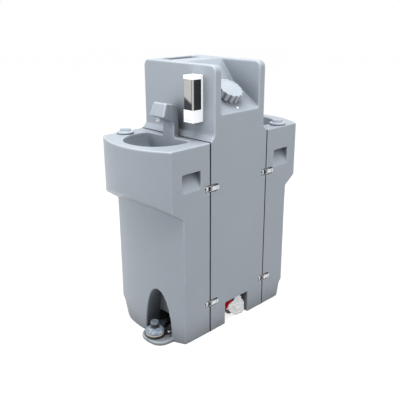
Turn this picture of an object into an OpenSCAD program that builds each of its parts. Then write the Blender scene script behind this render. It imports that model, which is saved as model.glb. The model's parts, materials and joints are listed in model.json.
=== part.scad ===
/* [Station] */
// Width of the station from side to side
station_w = 480; // [460:5:520]
// Height of the fresh water tower
station_h = 1300; // [1280:5:1340]
// Height of the basin decks
deck_h = 965; // [950:5:980]
// Depth of the tower from seam to seam
tower_d = 400; // [390:5:420]
// Gap between the tower and each basin section
seam_gap = 4; // [3:0.5:5]
// Wall thickness of the moulded tanks
wall = 6; // [5:0.5:7]

/* [Tower] */
// Depth of the tower above the decks
panel_d = 344; // [336:2:350]
// Height of the sloping ledge under each panel
ledge_h = 27; // [20:1:32]
// Thickness of the panels beside the filling recess
panel_t = 42; // [36:1:48]
// Radius of the panels' top corners
corner_r = 28; // [20:1:36]
// Distance of the recess ridge from the side
ridge_in = 252; // [246:1:258]
// Distance of the bend in the recess floor from the side
bend_in = 165; // [160:1:170]
// Depth of the recess floor at the bend
bend_drop = 110; // [104:1:116]
// Depth of the recess floor at the side
slope_drop = 220; // [214:1:226]
// Length of the towel well
well_l = 220; // [180:5:230]
// Width of the towel well
well_w = 95; // [80:5:100]
// Depth of the towel well
well_deep = 190; // [120:5:200]
// Distance of the towel well from the side
well_in = 35; // [30:1:40]

/* [Drain] */
// Depth of the drain bay into the tower
notch_deep = 110; // [104:1:120]
// Length of the drain bay
notch_l = 172; // [165:1:180]
// Height of the drain bay
notch_h = 120; // [118:1:130]
// Radius of the valve's handwheel
handle_r = 36; // [33:0.5:38]
// Bore radius of the drain outlet in the tank
drain_bore_r = 11; // [9:0.5:12]

/* [Basin section] */
// Distance of the basin bulge's front from the tower centre
bulge_reach = 513; // [505:1:520]
// Rise of the bulge's front curve
bulge_bow = 75; // [68:1:82]
// Height of the bulge's lower corners
bulge_z = 686; // [678:2:694]
// Drop of the slope under the bulge from its lower corners to the lower body's
underside_h = 48; // [42:1:54]
// Distance of the lower body's front from the tower centre
body_reach = 417; // [412:1:422]
// Rise of the lower body's front curve
body_bow = 48; // [44:1:52]
// Radius of the wash basin
basin_r = 157; // [150:1:160]
// Distance of the basin's centre from the tower centre
basin_y = 305; // [302:1:308]
// Distance of the basin's flat rear wall from the tower centre
basin_back = 237; // [236:1:242]
// Depth of the wash basin
basin_deep = 155; // [140:1:165]
// Width of the grip pockets
grip_w = 112; // [100:2:120]
// Height of the grip pockets
grip_h = 85; // [75:1:90]
// Depth of the grip pockets
grip_deep = 46; // [36:1:50]

/* [Spout] */
// Width of the spout's neck
neck_w = 78; // [72:1:84]
// Width across the spout's lip
lip_w = 100; // [92:1:104]
// Height of the spout's crown above the deck
crown_h = 163; // [158:1:168]
// Height of the spout's lip above the deck
lip_h = 102; // [98:1:106]
// Radius of the water nozzle
nozzle_r = 12; // [10:0.5:13]

/* [Pump bay] */
// Width of the pump bay at the floor
bay_w = 160; // [154:1:166]
// Height of the pump bay
bay_h = 260; // [252:1:270]
// Distance of the pump bay's middle from the station's centre plane
bay_x = 87; // [84:1:90]
// Thickness of the pump shelf
shelf_t = 20; // [18:0.5:22]
// Distance of the shelf's front from the tower centre
shelf_reach = 480; // [478:1:484]

/* [Foot pump] */
// Radius of the pump base
pump_r = 47; // [45:0.5:48]
// Radius of the pump's foot knob
knob_r = 21; // [20:0.5:24]
// Height of the pump with its knob up
pump_h = 76; // [74:0.5:80]
// Travel of the foot knob
pump_travel = 15; // [10:0.5:16]

/* [Caps] */
// Radius of the fill cap over its grips
fill_cap_r = 65; // [62:0.5:68]
// Height of the fill cap
fill_cap_h = 42; // [38:0.5:46]
// Radius of the waste caps
waste_cap_r = 41; // [39:0.5:41.5]

/* [Soap dispensers] */
// Width of a soap dispenser
soap_w = 62; // [58:1:66]
// Height of a soap dispenser
soap_h = 210; // [204:1:216]
// Depth of a soap dispenser
soap_d = 63; // [60:1:66]

/* [Latches] */
// Height of the lower latches
latch_low = 158; // [150:2:170]
// Height of the upper latches
latch_high = 749; // [744:1:752]
// Height of a latch pocket
latch_pocket_h = 38; // [34:1:42]
// Depth of a latch pocket
latch_pocket_t = 8; // [7.6:0.1:9]

/* [Hidden] */
LATCHES = [
    // name, turn about the upright axis, seam side, height
    ["front_right_upper", 0, -1, latch_high],
    ["front_right_lower", 0, -1, latch_low],
    ["rear_right_upper", 0, 1, latch_high],
    ["rear_right_lower", 0, 1, latch_low],
    ["rear_left_upper", 180, -1, latch_high],
    ["rear_left_lower", 180, -1, latch_low],
    ["front_left_upper", 180, 1, latch_high],
    ["front_left_lower", 180, 1, latch_low]
];

// Roundness of turned surfaces
$fn = 48;
// Overrun of every cut past the surface that it opens
over = 2;
// Clearance between pieces that move past each other
run_gap = 0.5;
// Clearance of a pin in its eye
pin_gap = 0.3;
// Gap at which a loose piece lies on its seat
seat_gap = 0.2;
// Steps in each curved outline
curve_steps = 10;

half_w = station_w / 2;
seam_y = tower_d / 2;
tower_y = seam_y - seam_gap / 2;
section_y = seam_y + seam_gap / 2;
panel_y = panel_d / 2;
recess_y = panel_y - panel_t;
bend_x = half_w - bend_in;
bend_z = station_h - bend_drop;
ridge_x = half_w - ridge_in;
slope_z = station_h - slope_drop;
slope_tilt = atan2(bend_z - slope_z, bend_in);

// Radius of an arc over a chord, from its rise
function arc_radius(chord, rise) = (chord * chord / 4 + rise * rise) / (2 * rise);
// Point a share of the way from one point to another
function between(a, b, share) = a + (b - a) * share;
bulge_r = arc_radius(station_w, bulge_bow);
bulge_c = bulge_reach - bulge_r;
body_r = arc_radius(station_w, body_bow);
body_c = body_reach - body_r;
body_corner_y = body_reach - body_bow;
// Rise of the flat slope under the bulge over the distance that it reaches out
under_slope = underside_h / (bulge_reach - bulge_bow - body_corner_y);

// Share of the wall by which a corner moves along both axes to thicken both of its faces
diagonal_share = 0.72;

module block(x0, x1, y0, y1, z0, z1) {
    translate([x0, y0, z0]) cube([x1 - x0, y1 - y0, z1 - z0]);
}

// Outline in Y and Z, drawn out along X
module along_x(x0, x1) {
    translate([x0, 0, 0]) rotate([90, 0, 90]) linear_extrude(x1 - x0) children();
}

// Outline in X and Z, drawn out along Y
module along_y(y0, y1) {
    translate([0, y1, 0]) rotate([90, 0, 0]) linear_extrude(y1 - y0) children();
}

// The same piece on the rear side
module turned() {
    rotate([0, 0, 180]) children();
}

module ring(outer, inner, h) {
    difference() {
        cylinder(r = outer, h = h);
        translate([0, 0, -over]) cylinder(r = inner, h = h + 2 * over);
    }
}

// Tube with flat sides, swept along a list of points
function unit(v) = v / norm(v);
function heading(p, i) = unit(p[min(i + 1, len(p) - 1)] - p[max(i - 1, 0)]);
function sideways(d) = unit(cross(d, abs(d.x) > 0.9 ? [0, 1, 0] : [1, 0, 0]));
function hose_ring(p, i, r, n) =
    let (d = heading(p, i), u = sideways(d), v = cross(d, u))
    [for (k = [0 : n - 1]) p[i] + r * (cos(360 * k / n) * u + sin(360 * k / n) * v)];
function smooth_route(p, n) = [
    for (i = [0 : len(p) - 2], k = [0 : n - 1])
        let (
            a = p[max(i - 1, 0)], b = p[i], c = p[i + 1], d = p[min(i + 2, len(p) - 1)],
            s = k / n
        )
        (b * 2 + (c - a) * s + (a * 2 - b * 5 + c * 4 - d) * s * s
            + (b * 3 - a - c * 3 + d) * s * s * s) / 2,
    p[len(p) - 1]
];
module swept(p, r, n) {
    rings = len(p);
    points = [for (i = [0 : rings - 1]) each hose_ring(p, i, r, n)];
    walls = [
        for (i = [0 : rings - 2], k = [0 : n - 1])
            let (a = i * n + k, b = i * n + (k + 1) % n)
            each [[a, b + n, b], [a, a + n, b + n]]
    ];
    first = [for (k = [1 : n - 2]) [0, k, k + 1]];
    last = (rings - 1) * n;
    end = [for (k = [1 : n - 2]) [last, last + k + 1, last + k]];
    polyhedron(points = points, faces = concat(walls, first, end), convexity = 4);
}

// Latch sizes, in a frame with X out of the side, Y away from the strike and Z up
latch_strike_end = 36;
latch_lever_end = 57;
latch_plate_t = 1.6;
latch_plate_h = 22;
latch_plate_gap = 0.4;
latch_strike_y = [-34, -8];
latch_base_y = [3, 37];
latch_pivot = [-1.5, 9];
latch_pin_r = 1.6;
latch_throw = 9;
latch_strap_l = 44;
latch_strap_t = 1.8;
latch_strap_lift = 2.8;
latch_cheek_z = 7.6;
latch_cheek_t = 1.8;
latch_cheek_r = 4;
latch_wire_r = 1.2;
latch_wire_z = 12;
latch_eye_r = 2.9;
latch_eye_h = 3.2;
latch_cross_y = -25;
latch_hook_gap = 0.4;
latch_hook_l = 2.4;
latch_hook_w = 12;
latch_ear_z = 4.2;
latch_ear_t = 2;
latch_ear_r = 2.4;
padlock_r = 3.2;
padlock_in = 11;
rivet_r = 1.6;
rivet_head_r = 2.8;
rivet_head_t = 0.9;
rivet_in = 5;
rivet_gap = 0.1;
rivet_ys = [-31, -14, 22, 32];

module at_latch(l) {
    rotate([0, 0, l[1]]) translate([half_w, l[2] * seam_y, l[3]]) children();
}

// Slot with round ends, grown on every side for the wall behind it
module latch_pocket(grow) {
    r = latch_pocket_h / 2;
    ends = [-latch_strike_end + r, latch_lever_end - r];
    translate([-latch_pocket_t - grow, 0, 0]) rotate([0, 90, 0]) {
        for (y = ends) translate([0, y, 0])
            cylinder(r = r + grow, h = latch_pocket_t + grow + over);
        translate([-r - grow, ends[0], 0])
            cube([2 * (r + grow), ends[1] - ends[0], latch_pocket_t + grow + over]);
    }
}

// True where a latch touches the section on one side of the tower
function on_side(l, side) = (l[1] == 0 ? l[2] : -l[2]) == side;

module rivet_holes() {
    for (y = rivet_ys) translate([-latch_pocket_t - rivet_in - rivet_gap, y, 0])
        rotate([0, 90, 0]) cylinder(r = rivet_r + rivet_gap, h = rivet_in + over);
}

// Soap dispenser sizes, in a frame with X across, Y towards the panel and Z up from its foot
soap_x = 135;
soap_drop = 44;
soap_foot_z = station_h - soap_h - soap_drop;
soap_back_t = 12;
soap_wall = 2.5;
soap_cup_h = 57;
soap_lid_h = 18;
soap_screw_x = 20;
soap_screw_zs = [70, 180];
soap_screw_r = 1.8;
soap_screw_l = 12;
soap_head_r = 3.6;
soap_head_t = 2;

module at_soap() {
    translate([soap_x, -panel_y, soap_foot_z]) children();
}

// Fill neck sizes, in a frame with Z out of the recess floor
fill_along = 88;
fill_cap_lift = 9;
fill_neck_r = 55;
fill_bore_r = 48;
fill_neck_h = 34;
fill_flange_r = 60;
fill_flange_h = 7;
vent_along = 173;
vent_r = 6;
vent_t = 3;
vent_shank_r = 2.5;
vent_shank_l = 9;

// Frame on the lower recess floor, a length down from the bend
module on_slope(along) {
    translate([bend_x, 0, bend_z]) rotate([0, slope_tilt, 0])
        translate([along, 0, 0]) children();
}

// Hose ports and the passages that the hoses take, on the front side
hose_r = 6.5;
hose_sides = 8;
hose_steps = 2;
port_x = 95;
port_z = 70;
port_bore_r = 5;
window_x = [-4, 150];
window_z = [24, 84];
bay_deep = 158;
bay_back = shelf_reach - bay_deep;
groove_w = 28;
groove_d = 24;
groove_z = 88;

module tower_outline(inset) {
    w = half_w - inset;
    y = tower_y - inset;
    p = panel_y - inset;
    top = station_h - inset;
    r = corner_r - inset;
    side = [[y, inset], [y, deck_h], [p, deck_h + ledge_h], [p, top]];
    intersection() {
        along_x(-w, w) polygon(concat(side, [for (i = [3 : -1 : 0]) [-side[i][0], side[i][1]]]));
        along_y(-y, y) {
            translate([-w, inset]) square([2 * w, top - r - inset]);
            translate([r - w, inset]) square([2 * (w - r), top - inset]);
            for (x = [r - w, w - r]) translate([x, top - r]) circle(r);
        }
    }
}

// Recess on the right of the tower top, open to the side and above
module fill_recess(grow) {
    ridge = [ridge_x, station_h];
    bend = [bend_x, bend_z];
    foot = [half_w, slope_z];
    high = between(bend, ridge, 1.1);
    far = between(bend, foot, 1.1);
    translate([-grow * diagonal_share, 0, -grow * diagonal_share])
        along_y(-recess_y - grow, recess_y + grow)
            polygon([high, bend, far, [far.x, high.y]]);
}

module towel_well(grow) {
    block(
        -half_w + well_in - grow, -half_w + well_in + well_w + grow,
        -well_l / 2 - grow, well_l / 2 + grow,
        station_h - well_deep - grow, station_h + over
    );
}

notch_mid = -4;
module drain_notch(grow) {
    block(
        half_w - notch_deep - grow, half_w + over,
        notch_mid - notch_l / 2 - grow, notch_mid + notch_l / 2 + grow,
        -over, notch_h + grow
    );
}

module tower_features(grow) {
    fill_recess(grow);
    towel_well(grow);
    drain_notch(grow);
    for (l = LATCHES) at_latch(l) latch_pocket(grow);
}

module fresh_water_tank() color("#9aa2aa") difference() {
    union() {
        difference() {
            tower_outline(0);
            tower_features(0);
        }
        on_slope(fill_along) translate([0, 0, -wall]) {
            cylinder(r = fill_neck_r, h = fill_neck_h + wall);
            cylinder(r = fill_flange_r, h = fill_flange_h + wall);
        }
    }
    difference() {
        tower_outline(wall);
        tower_features(wall);
    }
    on_slope(fill_along) translate([0, 0, -2 * wall])
        cylinder(r = fill_bore_r, h = fill_neck_h + 2 * wall + over);
    on_slope(vent_along) translate([0, 0, -2 * wall])
        cylinder(r = vent_shank_r + rivet_gap, h = 2 * wall + over);
    for (l = LATCHES) at_latch(l) rivet_holes();
    translate([half_w - notch_deep - 2 * wall, valve_y, valve_z]) rotate([0, 90, 0])
        cylinder(r = drain_bore_r, h = 2 * wall + over);
    for (turn = [0, 180]) rotate([0, 0, turn]) {
        translate([port_x, -tower_y - over, port_z]) rotate([-90, 0, 0])
            cylinder(r = port_bore_r, h = 2 * wall + over);
        at_soap() soap_screw_places() translate([0, -over, 0]) rotate([-90, 0, 0])
            cylinder(r = soap_screw_r + rivet_gap, h = 2 * wall + over);
    }
}

module soap_screw_places() {
    for (x = [-soap_screw_x, soap_screw_x], z = soap_screw_zs) translate([x, 0, z]) children();
}

fill_lobes = 14;
fill_lobe_r = 9;
fill_dish_r = 50;
fill_dish_t = 3;
fill_top_t = 9;
fill_seal_t = 2.5;
fill_seal_gap = 0.2;

module fill_cap() color("#d6dce2") on_slope(fill_along) translate([0, 0, fill_cap_lift])
    difference() {
        linear_extrude(height = fill_cap_h) {
            circle(r = fill_cap_r - fill_lobe_r / 2);
            for (i = [1 : fill_lobes]) rotate(360 * i / fill_lobes)
                translate([fill_cap_r - fill_lobe_r, 0]) circle(r = fill_lobe_r);
        }
        translate([0, 0, -over])
            cylinder(r = fill_neck_r + run_gap, h = fill_cap_h - fill_top_t + over);
        translate([0, 0, fill_cap_h - fill_dish_t]) cylinder(r = fill_dish_r, h = fill_dish_t + over);
    }

// Flat ring between the neck's rim and the inside of the cap
module fill_cap_gasket() color("#2c2e31") on_slope(fill_along)
    translate([0, 0, fill_neck_h + fill_seal_gap])
        ring(
            fill_neck_r, fill_bore_r,
            fill_cap_lift + fill_cap_h - fill_top_t - fill_neck_h - 2 * fill_seal_gap
        );

module vent_plug() color("#e6e9ec") on_slope(vent_along) {
    cylinder(r = vent_r, h = vent_t);
    translate([0, 0, -vent_shank_l]) cylinder(r = vent_shank_r, h = vent_shank_l + vent_t);
}

// Basin section, in front; the rear one is the same piece turned half round
module section_curve(reach_c, r, z0, z1, inset) {
    w = half_w - inset;
    intersection() {
        block(-w, w, -bulge_reach, -section_y - inset, z0, z1);
        translate([0, -reach_c, z0]) cylinder(r = r - inset, h = z1 - z0, $fn = 96);
    }
}

// Height of the slope under the bulge at a distance from the tower centre
function under_z(y) = bulge_z - underside_h + under_slope * (y - body_corner_y);

module section_outline(inset) {
    top = deck_h - inset;
    lift = inset * norm([1, under_slope]);
    ends = [section_y + inset, bulge_reach];
    section_curve(body_c, body_r, inset, top, inset);
    intersection() {
        section_curve(bulge_c, bulge_r, inset, top, inset);
        along_x(inset - half_w, half_w - inset) polygon([
            [-ends[0], under_z(ends[0]) + lift], [-ends[0], top],
            [-ends[1], top], [-ends[1], under_z(ends[1]) + lift]
        ]);
    }
}

// Spout: a neck behind the basin with a head that leans over it, wider towards its lip
neck_foot = 20;
lip_y = 310;
crown_y = 286;
crown_side = 86;
crown_drop = [[240, 9], [218, 18], [208, 27], [section_y, 40]];
throat_y = 262;
throat_h = 82;
throat_curve = [[247, 73], [240, 60], [basin_back, 42]];
module spout() {
    z = deck_h;
    half = [
        [neck_w / 2, z - neck_foot], [neck_w / 2, z + throat_curve.x.y],
        [lip_w / 2, z + lip_h], [crown_side / 2, z + crown_h]
    ];
    intersection() {
        along_x(-lip_w / 2, lip_w / 2) polygon(concat(
            [[-section_y, z - neck_foot]],
            [for (i = [3 : -1 : 0]) [-crown_drop[i].x, z + crown_h - crown_drop[i].y]],
            [[-crown_y, z + crown_h], [-lip_y, z + lip_h], [-throat_y, z + throat_h]],
            [for (q = throat_curve) [-q.x, z + q.y]],
            [[-basin_back, z - neck_foot]]
        ));
        translate([0, 0, z - neck_foot]) linear_extrude(crown_h + neck_foot) polygon([
            [-neck_w / 2, -section_y], [-neck_w / 2, -throat_y], [-lip_w / 2, -lip_y],
            [lip_w / 2, -lip_y], [neck_w / 2, -throat_y], [neck_w / 2, -section_y]
        ]);
        along_y(-lip_y, -section_y)
            polygon(concat(half, [for (i = [len(half) - 1 : -1 : 0]) [-half[i].x, half[i].y]]));
    }
}

// Frame on the head's underside, with Z up into the head
nozzle_share = 0.55;
throat_tilt = atan2(lip_h - throat_h, lip_y - throat_y);
module on_throat() {
    translate([
        0, -between(throat_y, lip_y, nozzle_share),
        deck_h + between(throat_h, lip_h, nozzle_share)
    ]) rotate([-throat_tilt, 0, 0]) children();
}

nozzle_l = 22;
nozzle_shank_r = 6.5;
nozzle_shank_l = 30;
nozzle_bore_r = 4;
nozzle_lip_t = 2;
passage_w = 22;
passage_z = [102, 139];
passage_in = 22;

// Rounded edge from the floor up to the crown of an arch, as half-widths and heights
bay_power = 2.4;
function arch_side(w, low, high) = [
    for (i = [0 : curve_steps])
        let (z = low + (high - low) * sin(90 * i / curve_steps))
        [w * sqrt(max(0, 1 - pow(z / high, bay_power))), z]
];

module pump_bay(grow) {
    side = arch_side(bay_w / 2 + grow, grow > 0 ? 0 : shelf_t, bay_h + grow);
    translate([bay_x, 0, 0]) along_y(-body_reach - over, -bay_back + grow)
        polygon(concat(side, [for (i = [curve_steps - 1 : -1 : 0]) [-side[i].x, side[i].y]]));
    block(
        window_x[0] - grow, window_x[1] + grow, -bay_back - over, -section_y + over,
        window_z[0] - grow, window_z[1] + grow
    );
}

// Channel in the section's back that takes the supply hose up to the spout
module hose_groove(grow) {
    w = groove_w / 2 + grow;
    depth = section_y + groove_d + grow;
    block(-w, w, -depth, -section_y + over, groove_z - w, deck_h + passage_z[1]);
}

basin_flat_r = 32;
basin_power = 3;
module basin_bowl(grow) {
    wide = basin_r - basin_flat_r;
    intersection() {
        translate([0, -basin_y, deck_h]) rotate_extrude($fn = 96) polygon(concat(
            [[0, over], [basin_r + grow, over]],
            [for (i = [0 : curve_steps]) let (s = sin(90 * i / curve_steps)) [
                basin_flat_r + grow + wide * sqrt(max(0, 1 - pow(s, basin_power))),
                -(basin_deep + grow) * s
            ]],
            [[0, -basin_deep - grow]]
        ));
        block(
            -half_w, half_w, -bulge_reach, -basin_back + grow,
            deck_h - basin_deep - 2 * wall, deck_h + over
        );
    }
}

grip_foot_z = 762;
grip_y = 317;
module grip_pockets(grow) {
    for (side = [0, 1]) mirror([side, 0, 0])
        translate([-grow * diagonal_share, 0, grow * diagonal_share])
            along_y(-grip_y - grip_w / 2 - grow, -grip_y + grip_w / 2 + grow) polygon([
                [half_w, grip_foot_z], [half_w + grip_deep, grip_foot_z - grip_h],
                [half_w + grip_deep, grip_foot_z + grip_h],
                [half_w - grip_deep, grip_foot_z + grip_h]
            ]);
}

// Set-back under the corner away from the pump, down to the floor
toe_x = -66;
toe_y = 182;
toe_r = [230, 243, 266];
toe_z = [0, 80, 98];
module toe_recess(grow) {
    difference() {
        block(-half_w - over, toe_x, -body_reach - over, -toe_y, -over, toe_z[2] + grow);
        translate([toe_x, -toe_y, grow]) for (i = [0, 1]) {
            translate([0, 0, toe_z[i]])
                cylinder(r1 = toe_r[i] - grow, r2 = toe_r[i + 1] - grow, h = toe_z[i + 1] - toe_z[i], $fn = 96);
            translate([0, 0, -over - grow]) cylinder(r = toe_r[0] - grow, h = over + grow, $fn = 96);
        }
    }
}

bung_in = 44;
bung_x = bung_in - half_w;
bung_y = 337;
bung_hole_r = 33;
module at_bung() {
    translate([bung_x, -bung_y, deck_h]) children();
}

strainer_hole_r = 22.5;
module section_features(grow) {
    basin_bowl(grow);
    pump_bay(grow);
    hose_groove(grow);
    grip_pockets(grow);
    toe_recess(grow);
    for (l = LATCHES) if (on_side(l, -1)) at_latch(l) latch_pocket(grow);
}

// Shelf that the foot pump stands on, out in front of the pump bay
shelf_x = 93;
shelf_w = 168;
shelf_corner_r = 64;
module pump_shelf() {
    w = shelf_w / 2;
    r = shelf_corner_r;
    linear_extrude(shelf_t) {
        translate([shelf_x - w, r - shelf_reach]) square([shelf_w, shelf_reach - r - bay_back]);
        translate([shelf_x + r - w, -shelf_reach]) square([shelf_w - 2 * r, shelf_reach - bay_back]);
        for (x = [r - w, w - r]) translate([shelf_x + x, r - shelf_reach]) circle(r);
    }
}

module basin_section() color("#9aa2aa") difference() {
    union() {
        difference() {
            union() {
                section_outline(0);
                spout();
            }
            section_features(0);
            block(
                -passage_w / 2, passage_w / 2, passage_in - lip_y, -section_y + over,
                deck_h + passage_z[0], deck_h + passage_z[1]
            );
        }
        pump_shelf();
    }
    difference() {
        section_outline(wall);
        section_features(wall);
    }
    at_bung() translate([0, 0, -2 * wall]) cylinder(r = bung_hole_r, h = 2 * wall + over);
    translate([0, -basin_y, deck_h - basin_deep - 2 * wall])
        cylinder(r = strainer_hole_r, h = 2 * wall + over);
    on_throat() translate([0, 0, -over])
        cylinder(r = nozzle_shank_r + pin_gap, h = nozzle_shank_l + over);
    at_pump() pump_screw_places() translate([0, 0, -shelf_t - over]) {
        cylinder(r = screw_r + pin_gap, h = shelf_t + 2 * over);
        cylinder(r = screw_head_r + pin_gap, h = screw_sink + over);
    }
    for (l = LATCHES) if (on_side(l, -1)) at_latch(l) rivet_holes();
}
module front_waste_tank() basin_section();
module rear_waste_tank() turned() basin_section();

// Waste cap: a plug in the deck with a flange, a seal under it and a bar to lift it by
waste_plug_r = 31;
waste_plug_l = 20;
waste_flange_t = 8;
waste_rim_t = 2.5;
waste_seal_t = 2;
waste_seal_w = 5;
waste_bar = [52, 15, 14];
waste_bar_turn = 45;
module waste_cap() color("#a6adb4") at_bung() translate([0, 0, waste_seal_t]) {
    rotate_extrude() polygon([
        [0, -waste_plug_l], [waste_plug_r - waste_rim_t, -waste_plug_l], [waste_plug_r, -waste_plug_l + waste_rim_t],
        [waste_plug_r, 0], [waste_cap_r, 0], [waste_cap_r, waste_flange_t - waste_rim_t],
        [waste_cap_r - waste_rim_t, waste_flange_t], [0, waste_flange_t]
    ]);
    l = waste_bar.x - waste_bar.y;
    translate([0, 0, waste_flange_t - waste_rim_t]) rotate([0, 0, waste_bar_turn]) {
        translate([-l / 2, -waste_bar.y / 2, 0]) cube([l, waste_bar.y, waste_bar.z + waste_rim_t]);
        for (x = [-l / 2, l / 2]) translate([x, 0, 0])
            cylinder(r = waste_bar.y / 2, h = waste_bar.z + waste_rim_t);
    }
}
module waste_cap_seal() color("#2c2e31") at_bung()
    ring(waste_cap_r - waste_seal_w / 2, waste_cap_r - 1.5 * waste_seal_w, waste_seal_t);

module front_waste_cap() waste_cap();
module rear_waste_cap() turned() waste_cap();
module front_waste_cap_seal() waste_cap_seal();
module rear_waste_cap_seal() turned() waste_cap_seal();

strainer_r = 30;
strainer_t = 2;
strainer_tube_r = 22;
strainer_tube_t = 3;
strainer_tube_l = 14;
strainer_holes = 6;
strainer_slot_r = 4;
module drain_strainer() translate([0, -basin_y, deck_h - basin_deep]) difference() {
    union() {
        cylinder(r = strainer_r, h = strainer_t);
        translate([0, 0, -strainer_tube_l]) cylinder(r = strainer_tube_r, h = strainer_tube_l + strainer_t);
    }
    translate([0, 0, -strainer_tube_l - over])
        cylinder(r = strainer_tube_r - strainer_tube_t, h = strainer_tube_l + over);
    for (i = [0 : strainer_holes])
        rotate([0, 0, 360 * i / strainer_holes])
            translate([i == strainer_holes ? 0 : strainer_tube_r * 0.6, 0, -over])
                cylinder(r = strainer_slot_r, h = strainer_t + 2 * over);
}
module drain_strainers() color("#c4c8cc") {
    drain_strainer();
    turned() drain_strainer();
}

module spout_nozzle() on_throat() difference() {
    union() {
        translate([0, 0, -nozzle_l]) cylinder(r = nozzle_r, h = nozzle_l);
        cylinder(r = nozzle_shank_r, h = nozzle_shank_l);
    }
    translate([0, 0, -nozzle_l - over]) {
        cylinder(r = nozzle_bore_r, h = nozzle_l + nozzle_shank_l + 2 * over);
        cylinder(r = nozzle_r - nozzle_lip_t, h = nozzle_lip_t + over);
    }
}
module spout_nozzles() color("#e2e6ea") {
    spout_nozzle();
    turned() spout_nozzle();
}

// Foot pump, in a frame with Z up from the shelf
pump_x = 88;
pump_in = 50;
pump_y = shelf_reach - pump_in;
pump_base_h = 11;
pump_floor_t = 4;
pump_well_r = 36;
pump_ring_r = 45;
pump_ring_t = 7;
pump_ring_gap = 1.5;
pump_dome_h = 26;
pump_neck_r = 18;
pump_knob_t = 14;
pump_knob_edge = 2.5;
port_angles = [55, 105];
port_axis_z = 8.5;
port_block = [62, 20, 18];
pump_port_r = 2.2;
fitting_l = 14;
fitting_hex_r = 8;
fitting_hex_l = 6;
fitting_tube_r = 5;
fitting_shank_l = 8;
screw_r = 2;
screw_head_r = 4;
screw_head_t = 2.4;
screw_sink = 4;
screw_bite = 9;
screw_ring_r = 41.5;
screw_count = 4;
dome_outer_shares = [
    [0, 1], [0.38, 1], [0.6, 0.92], [0.79, 0.75], [0.915, 0.54], [0.98, 0.31], [0.95, 0.12],
    [0.895, 0.06], [0.895, 0]
];
dome_inner_shares = [
    [0.79, 0], [0.83, 0.16], [0.87, 0.31], [0.81, 0.46], [0.7, 0.64], [0.53, 0.79], [0.36, 0.885],
    [0, 0.885]
];

module at_pump() {
    translate([pump_x, -pump_y, shelf_t]) children();
}
module pump_screw_places() {
    for (i = [1 : screw_count]) rotate([0, 0, 360 * (i - 0.5) / screw_count])
        translate([screw_ring_r, 0, 0]) children();
}
// Frame at a hose port, with Z out of it
module at_port(angle) {
    at_pump() rotate([0, 0, angle]) translate([port_block.x, 0, port_axis_z])
        rotate([0, 90, 0]) children();
}

module pump_base() color("#1d1f22") at_pump() difference() {
    union() {
        cylinder(r = pump_r, h = pump_base_h);
        difference() {
            for (a = port_angles) rotate([0, 0, a])
                translate([pump_well_r + pump_floor_t, -port_block.y / 2, 0])
                    cube([port_block.x - pump_well_r - pump_floor_t, port_block.y, port_block.z]);
            translate([0, 0, pump_base_h]) cylinder(r = pump_r + pump_ring_gap, h = port_block.z);
        }
    }
    translate([0, 0, pump_floor_t]) cylinder(r = pump_well_r, h = pump_base_h);
    for (a = port_angles) rotate([0, 0, a]) translate([0, 0, port_axis_z]) rotate([0, 90, 0])
        cylinder(r = pump_port_r, h = port_block.x + over);
    pump_screw_places() translate([0, 0, -over]) cylinder(r = screw_r + rivet_gap, h = screw_bite + over);
}
module front_pump_base() pump_base();
module rear_pump_base() turned() pump_base();

module pump_clamp_ring() at_pump() translate([0, 0, pump_base_h])
    ring(pump_ring_r, pump_well_r + 1, pump_ring_t);
module pump_clamp_rings() color("#dcd9cf") {
    pump_clamp_ring();
    turned() pump_clamp_ring();
}

dome_foot_z = pump_base_h + pump_ring_t;
module pump_diaphragm() color("#6e829b") at_pump() translate([0, 0, dome_foot_z])
    rotate_extrude() polygon([
        for (q = concat(dome_outer_shares, dome_inner_shares)) [q.x * pump_r, q.y * pump_dome_h]
    ]);
module front_pump_diaphragm() pump_diaphragm();
module rear_pump_diaphragm() turned() pump_diaphragm();

module pump_knob() color("#767f8a") at_pump() {
    neck = dome_foot_z + pump_dome_h;
    low = pump_h - pump_knob_t;
    e = pump_knob_edge;
    rotate_extrude() polygon([
        [0, neck], [pump_neck_r, neck], [pump_neck_r, low], [knob_r - e, low], [knob_r, low + e],
        [knob_r, pump_h - e], [knob_r - e, pump_h], [0, pump_h]
    ]);
}
module front_pump_knob() pump_knob();
module rear_pump_knob() turned() pump_knob();

// Return spring inside the pump, from its floor to under the dome's crown
spring_r = 11;
spring_wire_r = 1.3;
spring_turns = 5;
spring_rings = 8;
module pump_spring() color("#b9bec4") at_pump() {
    low = pump_floor_t + spring_wire_r + seat_gap;
    high = dome_foot_z + pump_dome_h * dome_inner_shares[7].y - spring_wire_r - seat_gap;
    n = spring_turns * spring_rings;
    swept([
        for (i = [0 : n]) let (a = 360 * i / spring_rings)
            [spring_r * cos(a), spring_r * sin(a), between(low, high, i / n)]
    ], spring_wire_r, 6);
}
module front_pump_spring() pump_spring();
module rear_pump_spring() turned() pump_spring();

module pump_screw_set() at_pump() pump_screw_places() translate([0, 0, -shelf_t + screw_sink]) {
    cylinder(r = screw_r, h = shelf_t - screw_sink + screw_bite - seat_gap);
    translate([0, 0, -screw_head_t]) cylinder(r = screw_head_r, h = screw_head_t);
}
module pump_screws() color("#b9bec4") {
    pump_screw_set();
    turned() pump_screw_set();
}

// Nipple that takes a hose end, in a frame with Z out of its port
module hose_fitting(shank_r, shank_l, hex_r) {
    translate([0, 0, -shank_l]) cylinder(r = shank_r, h = shank_l);
    cylinder(r = hex_r, h = fitting_hex_l);
    cylinder(r = fitting_tube_r, h = fitting_l);
}
module hose_fittings() color("#c7cbd0") for (turn = [0, 180]) rotate([0, 0, turn]) {
    for (a = port_angles) at_port(a)
        hose_fitting(pump_port_r - rivet_gap, fitting_shank_l, fitting_hex_r);
    translate([port_x, -tower_y, port_z]) rotate([90, 0, 0])
        hose_fitting(port_bore_r - rivet_gap, fitting_shank_l, fitting_hex_r);
}

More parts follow.
